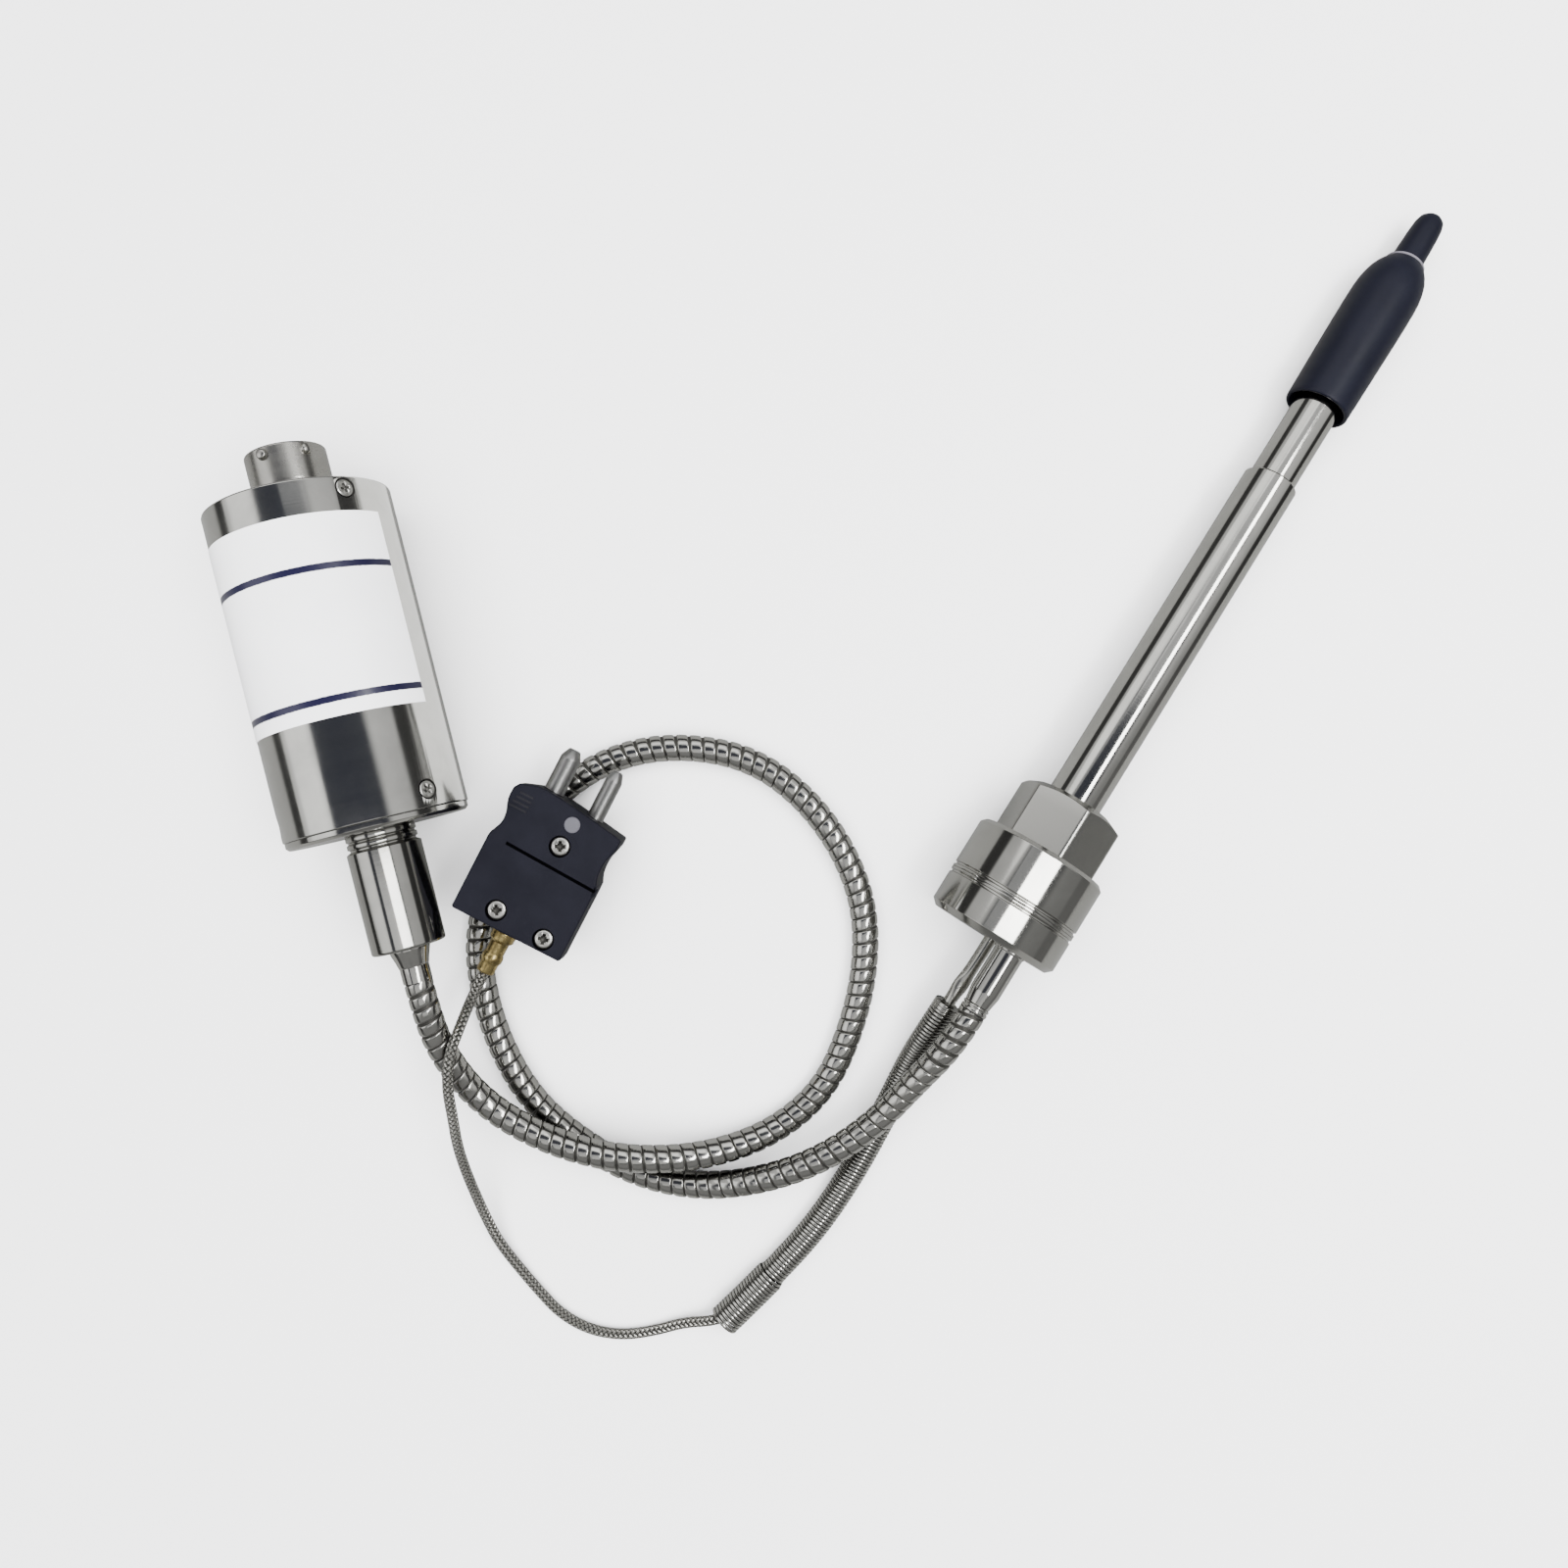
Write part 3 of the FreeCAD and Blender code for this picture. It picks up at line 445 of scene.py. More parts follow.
def cut(o, cutters):
    """Take the cutters' shapes out of an object's own mesh, for good."""
    for c in cutters:
        b = o.modifiers.new("cut", "BOOLEAN")
        b.operation = "DIFFERENCE"
        b.solver = "EXACT"
        b.object = c
        if c.data.materials:
            b.material_mode = "TRANSFER"
        while o.modifiers[0] != b and o.modifiers.find(b.name) > 0:
            o.modifiers.move(o.modifiers.find(b.name), 0)
        keep = [md for md in o.modifiers if md != b]
        shown = [md.show_viewport for md in keep]
        for md in keep:
            md.show_viewport = False
        bpy.context.view_layer.update()
        me = real_mesh(o)
        for md, sh in zip(keep, shown):
            md.show_viewport = sh
        o.modifiers.remove(b)
        old = o.data
        o.data = me
        D.meshes.remove(old)
    for c in cutters:
        me = c.data
        D.objects.remove(c, do_unlink=True)
        D.meshes.remove(me)


def temp(name, verts, faces, mw, mat=None):
    me = D.meshes.new(name)
    me.from_pydata([tuple(v) for v in verts], [], [tuple(f) for f in faces])
    if mat:
        me.materials.append(mat)
    bm = bmesh.new()
    bm.from_mesh(me)
    bmesh.ops.recalc_face_normals(bm, faces=bm.faces)
    bm.to_mesh(me)
    bm.free()
    o = D.objects.new(name, me)
    bpy.context.scene.collection.objects.link(o)
    o.matrix_world = mw
    return o


H = axes((-91.30, 8.05, 20.0), (0, 1, 0), (1, 0, 0))
hd, tl = math.radians(43.5), math.radians(2.844)
AX = Vector((math.cos(hd) * math.cos(tl), math.sin(hd) * math.cos(tl), -math.sin(tl)))
LAT = Vector((math.sin(hd), -math.cos(hd), 0))
S = axes((61.174, -26.172, 14.757), AX, LAT)
ph = math.radians(48.6)
G = axes((-70.25, -23.17, 13.25), (0, 0, 1), (math.cos(ph), math.sin(ph), 0))


def stem_at(t, lat=0.0, up_=0.0):
    p = S @ Vector((lat * MM, -up_ * MM, t * MM))
    return p


# ------------------------------------------------------------------ routes
hose_in, hose_end = stem_at(-60.9, 5.4, 0.4), stem_at(-52.4, 5.4, 0.4)
HOSE = [(-91.30, -25.00, 20.00), (-91.3, -33.4, 20.0), (-91.6, -45.7, 16.0),
        (-87.5, -59.3, 11.2), (-77.7, -70.3, 10.1), (-65.2, -78.4, 10.5),
        (-51.6, -83.7, 9.1), (-37.4, -86.5, 5.9), (-22.7, -85.2, 3.5),
        (-9.7, -78.5, 3.2), (-0.5, -66.8, 3.2), (6.4, -53.6, 3.2),
        (9.9, -39.3, 3.2), (8.3, -24.7, 3.2), (2.6, -10.8, 3.2),
        (-6.6, 0.6, 3.2), (-19.7, 7.5, 3.2), (-34.4, 10.2, 3.2),
        (-48.8, 7.5, 3.2), (-61.6, 0.0, 3.2), (-72.6, -10.1, 3.2),
        (-80.7, -22.4, 3.2), (-82.9, -36.9, 3.2), (-81.7, -51.8, 3.2),
        (-77.2, -65.7, 3.2), (-68.4, -77.6, 3.2), (-57.4, -87.7, 3.2),
        (-44.2, -93.7, 4.1), (-29.8, -94.5, 7.8), (-15.4, -92.6, 10.4),
        (-1.4, -87.9, 10.4), (10.7, -79.4, 13.6)]
SPRING = [(22.6, -64.4, 11.1), (18.4, -68.6, 9.9), (11.6, -76.6, 4.6),
          (4.1, -85.8, 3.25), (-3.8, -94.6, 3.3), (-12.2, -103.0, 3.25),
          (-21.2, -110.6, 3.3), (-31.3, -117.1, 3.6), (-41.4, -123.0, 3.85),
          (-46.6, -125.9, 3.95)]
fe = G @ Vector((-11.1 * MM, 0.95 * MM, 0))
fi = G @ Vector((-17.1 * MM, 0.95 * MM, 0))
LEAD = [(19.80, -67.20, 10.30), (17.4, -69.52, 9.76), (14.4, -73.3, 6.7),
        (10.5, -77.9, 4.4), (5.7, -83.9, 3.4), (0.6, -89.7, 3.2),
        (-4.6, -95.4, 3.3), (-10.1, -100.9, 3.2), (-15.8, -106.1, 3.2),
        (-21.8, -110.9, 3.3), (-28.2, -115.1, 3.5), (-35.0, -119.6, 3.7),
        (-41.9, -124.5, 3.9), (-48.7, -125.4, 3.8), (-56.1, -124.8, 1.9),
        (-63.8, -125.3, 1.25), (-71.6, -124.4, 1.2), (-78.7, -121.2, 1.2),
        (-84.4, -115.8, 1.2), (-88.1, -109.0, 1.2), (-91.5, -102.0, 1.3),
        (-94.1, -94.8, 2.5), (-94.9, -87.4, 4.6), (-94.8, -80.4, 8.0),
        (-94.1, -73.9, 12.2), (-93.2, -67.2, 16.0), (-91.7, -60.0, 18.8),
        (-90.7, -52.7, 20.5), (-88.45, -46.0, 20.45), (-85.65, -40.8, 16.2)]


def spline_points(points, name):
    """A smooth spline whose control points are the route's, read back as a fine line of points."""
    cu = D.curves.new(name, "CURVE")
    cu.dimensions = "3D"
    cu.resolution_u = 24
    sp = cu.splines.new("NURBS")
    sp.points.add(len(points) - 1)
    for p, q in zip(sp.points, points):
        p.co = (*q, 1)
    sp.order_u = 3
    sp.use_endpoint_u = True
    o = D.objects.new(name, cu)
    bpy.context.scene.collection.objects.link(o)
    bpy.context.view_layer.update()
    dg = bpy.context.evaluated_depsgraph_get()
    me = D.meshes.new_from_object(o.evaluated_get(dg))
    co = np.zeros(len(me.vertices) * 3)
    me.vertices.foreach_get("co", co)
    D.meshes.remove(me)
    D.objects.remove(o, do_unlink=True)
    D.curves.remove(cu)
    return co.reshape(-1, 3)


class Path:
    """Points along a line at even steps, each with its tangent and a frame that doesn't twist."""

    def __init__(self, pts, first=None):
        keep = [0]
        for i in range(1, len(pts)):
            if np.linalg.norm(pts[i] - pts[keep[-1]]) > 1e-7:
                keep.append(i)
        self.p = pts[keep]
        seg = np.linalg.norm(np.diff(self.p, axis=0), axis=1)
        self.s = np.concatenate([[0], np.cumsum(seg)])
        self.length = self.s[-1]
        t = np.gradient(self.p, self.s, axis=0)
        self.t = t / np.linalg.norm(t, axis=1)[:, None]
        n = np.zeros_like(self.t)
        a = np.array(first if first is not None else (0, 0, 1.0))
        a = a - self.t[0] * (a @ self.t[0])
        n[0] = a / np.linalg.norm(a)
        for i in range(1, len(n)):
            v = n[i - 1] - self.t[i] * (n[i - 1] @ self.t[i])
            n[i] = v / np.linalg.norm(v)
        self.n = n

    def at(self, s):
        s = np.clip(s, 0, self.length)
        f = [np.interp(s, self.s, self.p[:, k]) for k in range(3)]
        g = [np.interp(s, self.s, self.t[:, k]) for k in range(3)]
        h = [np.interp(s, self.s, self.n[:, k]) for k in range(3)]
        P, T, N = (np.stack(q, -1) for q in (f, g, h))
        T /= np.linalg.norm(T, axis=-1)[..., None]
        N -= T * np.sum(N * T, -1)[..., None]
        N /= np.linalg.norm(N, axis=-1)[..., None]
        return P, T, N, np.cross(T, N)

    def ring_centres(self, step=0.0015):
        k = max(8, int(self.length / step))
        return [tuple(v) for v in self.at(np.linspace(0, self.length, k))[0]]


def mesh_from_grid(name, co, quads, depth=None, uv=None):
    me = D.meshes.new(name)
    me.vertices.add(len(co))
    me.vertices.foreach_set("co", np.ascontiguousarray(co, dtype=np.float32).ravel())
    q = np.ascontiguousarray(quads, dtype=np.int32)
    me.loops.add(q.size)
    me.loops.foreach_set("vertex_index", q.ravel())
    me.polygons.add(len(q))
    me.polygons.foreach_set("loop_start", np.arange(0, q.size, 4, dtype=np.int32))
    me.polygons.foreach_set("loop_total", np.full(len(q), 4, dtype=np.int32))
    me.update(calc_edges=True)
    if depth is not None:
        a = me.attributes.new("depth", "FLOAT", "POINT")
        a.data.foreach_set("value", np.ascontiguousarray(depth, dtype=np.float32))
    if uv is not None:
        l = me.uv_layers.new(name="UVMap")
        l.data.foreach_set("uv", np.ascontiguousarray(uv, dtype=np.float32).ravel())
    return me


def wound_strip(name, path, radius, pitch, rows, around, s0=0.0, s1=None, bend=0.0):
    """A hose of one strip wound on itself. rows: (share of the pitch, change of radius in mm, depth 0..1). The mesh's rows run along the winding."""
    s1 = path.length if s1 is None else s1
    n = len(rows)
    turns = int((s1 - s0) / (pitch * MM)) + 3
    u = np.array([r[0] for r in rows])
    dr = np.array([r[1] for r in rows])
    dep = np.array([r[2] for r in rows])
    rowi = np.arange(-n, turns * n)
    base = (rowi // n) + u[rowi % n]
    drr, dd = dr[rowi % n], dep[rowi % n]
    j = np.arange(around)
    s = s0 + (base[:, None] + j[None, :] / around) * pitch * MM
    s = np.clip(s, s0, s1)
    P, T, N, B = path.at(s)
    ang = 2 * math.pi * j / around
    r = (radius + drr)[:, None] * MM
    if bend:
        # each turn is stiff, so a bend opens the gaps on its outside and closes them inside
        h = 0.0012
        K = (path.at(np.clip(s + h, s0, s1))[1] - path.at(np.clip(s - h, s0, s1))[1]) / (2 * h)
        d = np.cos(ang)[None, :, None] * N + np.sin(ang)[None, :, None] * B
        open_ = np.clip(-np.einsum("ijk,ijk->ij", K, d) * radius * MM, -0.06, 0.10) * bend
        f = u[rowi % n][:, None]
        side = np.where((f > 0.001) & (f < 0.2), 0.5, np.where(f > 0.8, -0.5, 0.0))
        s = np.clip(s + side * np.clip(open_, -0.05, 0.16) * pitch * MM, s0, s1)
        P, T, N, B = path.at(s)
    co = P + (np.cos(ang)[None, :, None] * N + np.sin(ang)[None, :, None] * B) * r[..., None]
    R = len(rowi)
    idx = np.arange(R * around).reshape(R, around)
    a, b = idx[:-1, :-1], idx[:-1, 1:]
    c, d = idx[1:, 1:], idx[1:, :-1]
    q1 = np.stack([a, b, c, d], -1).reshape(-1, 4)
    # the last column joins the first, one turn further on
    k = np.arange(R - n - 1)
    q2 = np.stack([idx[k, -1], idx[k + n, 0], idx[k + n + 1, 0], idx[k + 1, -1]], -1)
    quads = np.concatenate([q1, q2])
    sv = s.ravel()
    live = ~np.all((sv[quads] <= s0 + 1e-9) | (sv[quads] >= s1 - 1e-9), axis=1)
    quads = quads[live]
    me = mesh_from_grid(name, co.reshape(-1, 3), quads[:, ::-1], np.repeat(dd, around))
    return me


hose_path = Path(spline_points([tuple(place(*p)) for p in HOSE] + [tuple(hose_in), tuple(hose_end)], "hose_line"))
# each row's third number is how deep it lies in a gap; the strip's material paints deep places dark, as shade
me = wound_strip("flexible_hose_strip", hose_path, 3.15, 3.08,
                 [(0.00, -0.36, 1.0), (0.040, -0.34, 0.9), (0.070, -0.16, 0.35), (0.105, -0.06, 0.05), (0.17, -0.02, 0.0), (0.36, 0.01, 0.0),
                  (0.50, 0.015, 0.0), (0.64, 0.01, 0.0), (0.83, -0.02, 0.0), (0.895, -0.06, 0.05), (0.93, -0.16, 0.35), (0.96, -0.34, 0.9)], 42, bend=1.5)
hose = finish_mesh("flexible_hose_strip", me, m_hose, sharp=52, stands_for=("flexible_hose",))
hose_path.ring_centres()


def coil_mesh(name, path, wire, pitch_end, radius_of, steps=28, section=8, s0=0.0, s1=None, pitch=None, phase=0.0, flat=1.0):
    """A close-wound round wire along a path."""
    s1 = path.length if s1 is None else s1
    turns = (s1 - s0) / (pitch * MM)
    k = np.arange(int(turns * steps) + 1)
    s = s0 + k / steps * pitch * MM
    s = np.clip(s, s0, s1)
    a = 2 * math.pi * k / steps + phase
    P, T, N, B = path.at(s)
    R = radius_of((s - s0) / MM)[:, None] * MM
    out = np.cos(a)[:, None] * N + np.sin(a)[:, None] * B
    C = P + out * R
    w = 2 * math.pi * np.arange(section) / section
    co = C[:, None, :] + (np.cos(w)[None, :, None] * out[:, None, :] * flat + np.sin(w)[None, :, None] * T[:, None, :]) * wire * 0.5 * MM
    # painted shade: the wire's inner half, between the turns, is marked deep, and the wire's material paints it dark
    dep = np.clip(0.86 - np.cos(w) * 1.0, 0, 1)
    K = len(k)
    idx = np.arange(K * section).reshape(K, section)
    a0 = idx[:-1]
    b0 = np.roll(idx, -1, axis=1)[:-1]
    c0 = np.roll(idx, -1, axis=1)[1:]
    d0 = idx[1:]
    quads = np.stack([a0, b0, c0, d0], -1).reshape(-1, 4)
    me = mesh_from_grid(name, co.reshape(-1, 3), quads, np.tile(dep, K))
    bm = bmesh.new()
    bm.from_mesh(me)
    bm.verts.ensure_lookup_table()
    bm.faces.new([bm.verts[i] for i in range(section)])
    bm.faces.new([bm.verts[(K - 1) * section + i] for i in reversed(range(section))])
    bmesh.ops.recalc_face_normals(bm, faces=bm.faces)
    bm.to_mesh(me)
    bm.free()
    return me


spring_path = Path(spline_points([tuple(place(*p)) for p in SPRING], "spring_line"))
SL = spring_path.length / MM
WIRE = 0.82


def spring_radius(s):
    """Even along the guard, then a step up to the wider last coils."""
    k = np.clip((s - (SL - 16.5)) / 1.6, 0, 1)
    return 3.2 - WIRE * 0.3 + 0.55 * k * k * (3 - 2 * k)


me = coil_mesh("lead_spring_coil", spring_path, WIRE, 0, spring_radius, 28, 10, pitch=0.88, flat=0.6)
spring = finish_mesh("lead_spring_coil", me, m_spring, stands_for=("lead_spring",))


lathe("lead_spring_end", [(1.62, 0.1), (2.9, 0.0), (3.12, 0.12), (3.2, 0.4), (3.12, 0.72), (2.9, 0.86), (3.12, 1.0), (3.2, 1.28), (3.12, 1.55), (2.9, 1.7), (1.62, 1.7)], m_spring,
      axes(SPRING[0], Vector(SPRING[1]) - Vector(SPRING[0]), (0, 0, 1)), segs=56, bevel=0, slot="spring_steel")


def tube_mesh(name, path, half_w, half_h, around=24, step=0.0006, s0=0.0, s1=None, lift=(0, 0, 1), close=True):
    """A plain oval tube, its wide way across the path's own normal, which starts out upwards; `lift` is not used."""
    s1 = path.length if s1 is None else s1
    k = int((s1 - s0) / step) + 1
    s = np.linspace(s0, s1, k)
    P, T, N, B = path.at(s)
    a = 2 * math.pi * np.arange(around) / around
    co = P[:, None] + (np.cos(a)[None, :, None] * N[:, None]) * half_h * MM + (np.sin(a)[None, :, None] * B[:, None]) * half_w * MM
    idx = np.arange(k * around).reshape(k, around)
    r = np.roll(idx, -1, axis=1)
    quads = np.stack([idx[:-1], r[:-1], r[1:], idx[1:]], -1).reshape(-1, 4)[:, ::-1]
    i, j = np.meshgrid(np.arange(k - 1), np.arange(around), indexing="ij")
    sc = s / (2 * math.pi * (half_w + half_h) / 2 * MM)
    u0, u1 = j / around, (j + 1) / around
    v0, v1 = sc[:-1][i], sc[1:][i]
    uv = np.stack([np.stack([u0, v0], -1), np.stack([u1, v0], -1), np.stack([u1, v1], -1), np.stack([u0, v1], -1)], 2).reshape(-1, 4, 2)[:, ::-1]
    return mesh_from_grid(name, co.reshape(-1, 3), quads, uv=uv)


lead_path = Path(spline_points([tuple(place(*p)) for p in LEAD] + [tuple(fi), tuple(fe)], "lead_line"))
me = tube_mesh("thermocouple_lead_braid", lead_path, 1.2, 1.02, 20, 0.0008)
lead = finish_mesh("thermocouple_lead_braid", me, m_braid, stands_for=("thermocouple_lead",))


# ------------------------------------------------------------------ screws
def cross_cutter(name, mw, span, width, depth, top, poz=False):
    """A cross recess that narrows downwards, to be taken out of a screw's head."""
    verts, faces = [], []

    def slot_(ang, L, w, dep):
        c, s = math.cos(ang), math.sin(ang)
        i0 = len(verts)
        for z, k in ((top + 0.6, 1.0), (top - dep, 0.62)):
            for x, y in ((-L, -w), (L, -w), (L, w), (-L, w)):
                x, y = x * k, y * (0.75 if k < 1 else 1.0)
                verts.append(((x * c - y * s) * MM, (x * s + y * c) * MM, z * MM))
        for f in ((0, 3, 2, 1), (4, 5, 6, 7), (0, 1, 5, 4), (1, 2, 6, 5), (2, 3, 7, 6), (3, 0, 4, 7)):
            faces.append(tuple(i0 + q for q in f))

    slot_(0, span, width, depth)
    # the cutters carry the dark recess material, so the recess's faces get painted shade
    out = [temp(name + "_a", verts, faces, mw, m_recess)]
    verts, faces = [], []
    slot_(math.pi / 2, span, width, depth)
    out.append(temp(name + "_b", verts, faces, mw, m_recess))
    if poz:
        for q in (1, 3):
            verts, faces = [], []
            slot_(q * math.pi / 4, span * 0.92, width * 0.32, depth * 0.22)
            out.append(temp(name + "_c%d" % q, verts, faces, mw, m_recess))
    return out


def screw(name, mw, r, flat=False, spin=20.0, poz=False, **kw):
    """A cross-head screw; its head's top middle is the origin and +Z points out."""
    mw = mw @ Matrix.Rotation(math.radians(spin), 4, "Z")
    if flat:
        prof = [(0, 0), (r * 0.80, 0), (r * 0.95, -0.07), (r, -0.20), (r * 0.98, -0.30), (r * 0.6, -1.1), (0, -1.1)]
    else:
        prof = [(0, 0.0), (r * 0.45, -0.03), (r * 0.72, -0.11), (r * 0.88, -0.24), (r * 0.97, -0.45), (r, -0.70), (r, -1.4), (0, -1.4)]
    v, f = lathe_data(prof, 40, False)
    o = make(name, v, f, m_screw, mw, weighted=True, **kw)
    cut(o, cross_cutter(name, mw, r * (0.66 if poz else 0.60), r * (0.20 if poz else 0.165), r * 0.42, 0.0, poz))
    o.data.shade_smooth()
    o.data.set_sharp_from_angle(angle=math.radians(35))
    return o


def radial(base, theta, r, z):
    """A frame whose +Z points out of a cylinder at angle theta (from +X towards world up), at radius r and height z, mm."""
    a = math.radians(theta)
    out = Vector((math.cos(a), -math.sin(a), 0))
    ax = Vector((0, 0, 1))
    y = out.cross(ax)
    q = Matrix.Identity(4)
    for i, c in enumerate((ax, y, out, Vector((out.x * r * MM, out.y * r * MM, z * MM)))):
        q[0][i], q[1][i], q[2][i] = c
    return base @ q


# ------------------------------------------------------------------ housing
shell = lathe("housing_body", [(18.4, 0.0), (19.72, 0.0), (19.93, 0.07), (20.0, 0.28), (20.0, 24.0), (20.0, 48.0), (20.0, HL - 0.45), (19.88, HL - 0.14), (19.6, HL),
                               (18.4, HL)], m_housing, H, segs=192, bevel=0, stands_for=("housing_tube",), slot="housing_steel")
pockets = []
for z, a0 in ((3.85, 36.0), (70.0, 40.6)):
    for k in range(3):
        mw = radial(H, a0 + 120 * k, 19.3, z)
        v, f = lathe_data([(0, -0.25), (1.95, -0.25), (2.3, 0.75), (2.3, 2.0), (0, 2.0)], 40)
        # the pockets carry the dark recess material, so the ring round each screw gets painted shade
        pockets.append(temp("pocket", v, f, mw, m_recess))
cut(shell, pockets)
shell.data.shade_smooth()
shell.data.set_sharp_from_angle(angle=math.radians(30))
for z, a0, nm, spins in ((3.85, 36.0, "lower_cap_screw", (28, 70, 10)), (70.0, 40.6, "upper_cap_screw", (12, 50, 80))):
    for k in range(3):
        screw("%s_%d" % (nm, k + 1), radial(H, a0 + 120 * k, 19.87, z), 1.90, flat=True, spin=spins[k],
              stands_for=("lower_cap_screws" if nm[0] == "l" else "upper_cap_screws",), slot="screw_steel")

lathe("lower_end_plate", [(5.95, -1.8), (19.05, -1.8), (19.7, -1.15), (19.7, -0.05), (18.2, -0.02), (18.2, 9.0), (14.5, 9.0), (14.5, 4.5), (5.95, 4.5)],
      m_turned, H, segs=160, bevel=0.1, stands_for=("lower_end_cap",), slot="turned_steel")
lathe("upper_end_plate", [(7.0, HL - 5), (13.5, HL - 5), (13.5, HL - 9), (18.3, HL - 9), (18.3, HL - 0.35), (18.0, HL - 0.05), (7.0, HL - 0.05)],
      m_turned, H, segs=160, bevel=0.1, stands_for=("upper_end_cap",), slot="turned_steel")


def label_sheet():
    n, zs = 120, (22.6, 22.75, 30, 43, 56, 64.85, 65.0)
    v, f = [], []
    a0, a1 = math.radians(20.0), math.radians(235.0)
    for lay, r in ((0, 20.115), (1, 20.002)):
        for i in range(n + 1):
            a = a0 + (a1 - a0) * i / n
            for z in zs:
                v.append((r * MM * math.cos(a), -r * MM * math.sin(a), z * MM))
    m_ = len(zs)
    L = (n + 1) * m_
    for i in range(n):
        for j in range(m_ - 1):
            q = i * m_ + j
            f.append((q, q + 1, q + m_ + 1, q + m_))
            f.append((L + q, L + q + m_, L + q + m_ + 1, L + q + 1))
        for j in (0, m_ - 1):
            q = i * m_ + j
            f.append((q, q + m_, L + q + m_, L + q))
    for i in (0, n):
        for j in range(m_ - 1):
            q = i * m_ + j
            f.append((q, q + 1, L + q + 1, L + q))
    return v, f


v, f = label_sheet()
make("rating_label_film", v, f, m_label, H, sharp=40, stands_for=("rating_label",), slot="label_film")

# receptacle
lathe("receptacle_body", [(7.1, HL + 2.0), (7.1, HL + 11.3)] + arc((7.65, HL + 11.4), 0.55, 180, 90, 4) + arc((8.15, HL + 11.4), 0.55, 90, 0, 4)
      + [(8.7, HL + 4.0), (8.62, HL + 3.8), (8.62, HL + 3.2), (8.7, HL + 3.0), (8.7, HL + 0.6), (9.0, HL + 0.02), (6.9, HL + 0.02), (6.9, HL - 9.0), (5.7, HL - 9.0), (5.7, HL + 2.0)],
      m_shell, H, segs=128, bevel=0.06, stands_for=("receptacle_shell",), slot="shell_metal")
for k, a in enumerate((39.8, 101.8, 250.8)):
    lathe("bayonet_stud_%d" % (k + 1), [(0, 1.02), (0.75, 0.98), (1.08, 0.80), (1.2, 0.50), (1.2, 0.12), (1.32, 0.0), (1.32, -0.9), (0, -0.9)], m_shell,
          radial(H, a, 8.7, HL + 10.05), segs=36, closed=False, bevel=0, slot="shell_metal")

# neck and the cone that holds the hose
N0 = -1.8
lathe("neck_tube", [(5.9, 5.4), (5.9, N0 - 0.02), (7.55, N0 - 0.02), (7.62, N0 - 0.3), (7.62, N0 - 1.25), (7.2, N0 - 1.5), (7.2, N0 - 1.75), (7.62, N0 - 1.95), (7.62, N0 - 2.9),
                    (7.15, N0 - 3.15), (7.15, N0 - 3.5), (8.1, N0 - 4.0), (8.1, N0 - 15.0), (8.1, N0 - 26.25)]
      + arc((7.5, N0 - 26.35), 0.6, 0, -90, 4) + [(3.5, N0 - 26.95), (3.5, N0 - 24.0), (4.6, N0 - 23.0), (4.6, 5.4)],
      m_neck, H, segs=128, bevel=0.08, stands_for=("neck_body",), slot="turned_steel")
lathe("hose_cone", [(1.0, N0 - 24.0), (3.42, N0 - 24.0), (3.42, N0 - 26.9), (4.5, N0 - 26.95), (4.42, N0 - 27.5), (4.1, N0 - 28.5), (3.7, N0 - 29.7), (3.42, N0 - 30.8), (3.3, N0 - 31.25),
                    (1.0, N0 - 31.25)],
      m_turned, H, segs=72, bevel=0.08, stands_for=("hose_end_cone",), slot="turned_steel")
# the hose's plain end band, seen below the cone
hb = Path(hose_path.at(np.linspace(0.0, 0.0034, 12))[0])
me = tube_mesh("hose_end_band", hb, 3.22, 3.22, 64, 0.0003)
finish_mesh("hose_end_band", me, m_turned)


# ------------------------------------------------------------------ stem
def hex_mesh():
    """Six flats with eased corners; a cone takes the corners off in front."""
    Rf, ang0 = 11.0, 25.0
    n = 26
    angs, rho = [], []
    for k in range(6):
        mid = ang0 + 30 + 60 * k
        for i in range(n):
            u = -30 + 60 * (i / n) + 60 / n / 2
            # closer points near the corners
            u = 30 * math.copysign(1 - (1 - abs(u) / 30) ** 1.6, u)
            r = Rf / math.cos(math.radians(u))
            r = min(r, 12.70 - 0.22 + 0.0 * u)
            angs.append(math.radians(mid + u))
            rho.append(r)
    rings = []

    def ring(rs, zs):
        rings.append([(r * MM * math.cos(a), -r * MM * math.sin(a), z * MM) for r, a, z in zip(rs, angs, zs)])

    m_ = len(angs)
    ring([6.27] * m_, [-3.0] * m_)
    ring([6.27] * m_, [-0.25] * m_)
    ring([6.5] * m_, [0.0] * m_)
    ring([8.9] * m_, [0.0] * m_)
    ring([9.05] * m_, [-0.05] * m_)
    ring([r - 0.12 for r in rho], [-(r - 8.9) * 0.47 + 0.02 for r in rho])
    ring(rho, [-(r - 8.9) * 0.47 - 0.13 for r in rho])
    ring(rho, [-4.2] * m_)
    ring(rho, [-9.0] * m_)
    ring(rho, [-13.75] * m_)
    v = [p for r in rings for p in r]
    f = []
    for a in range(len(rings) - 1):
        for k in range(m_):
            k2 = (k + 1) % m_
            f.append((a * m_ + k, a * m_ + k2, (a + 1) * m_ + k2, (a + 1) * m_ + k))
    return v, f


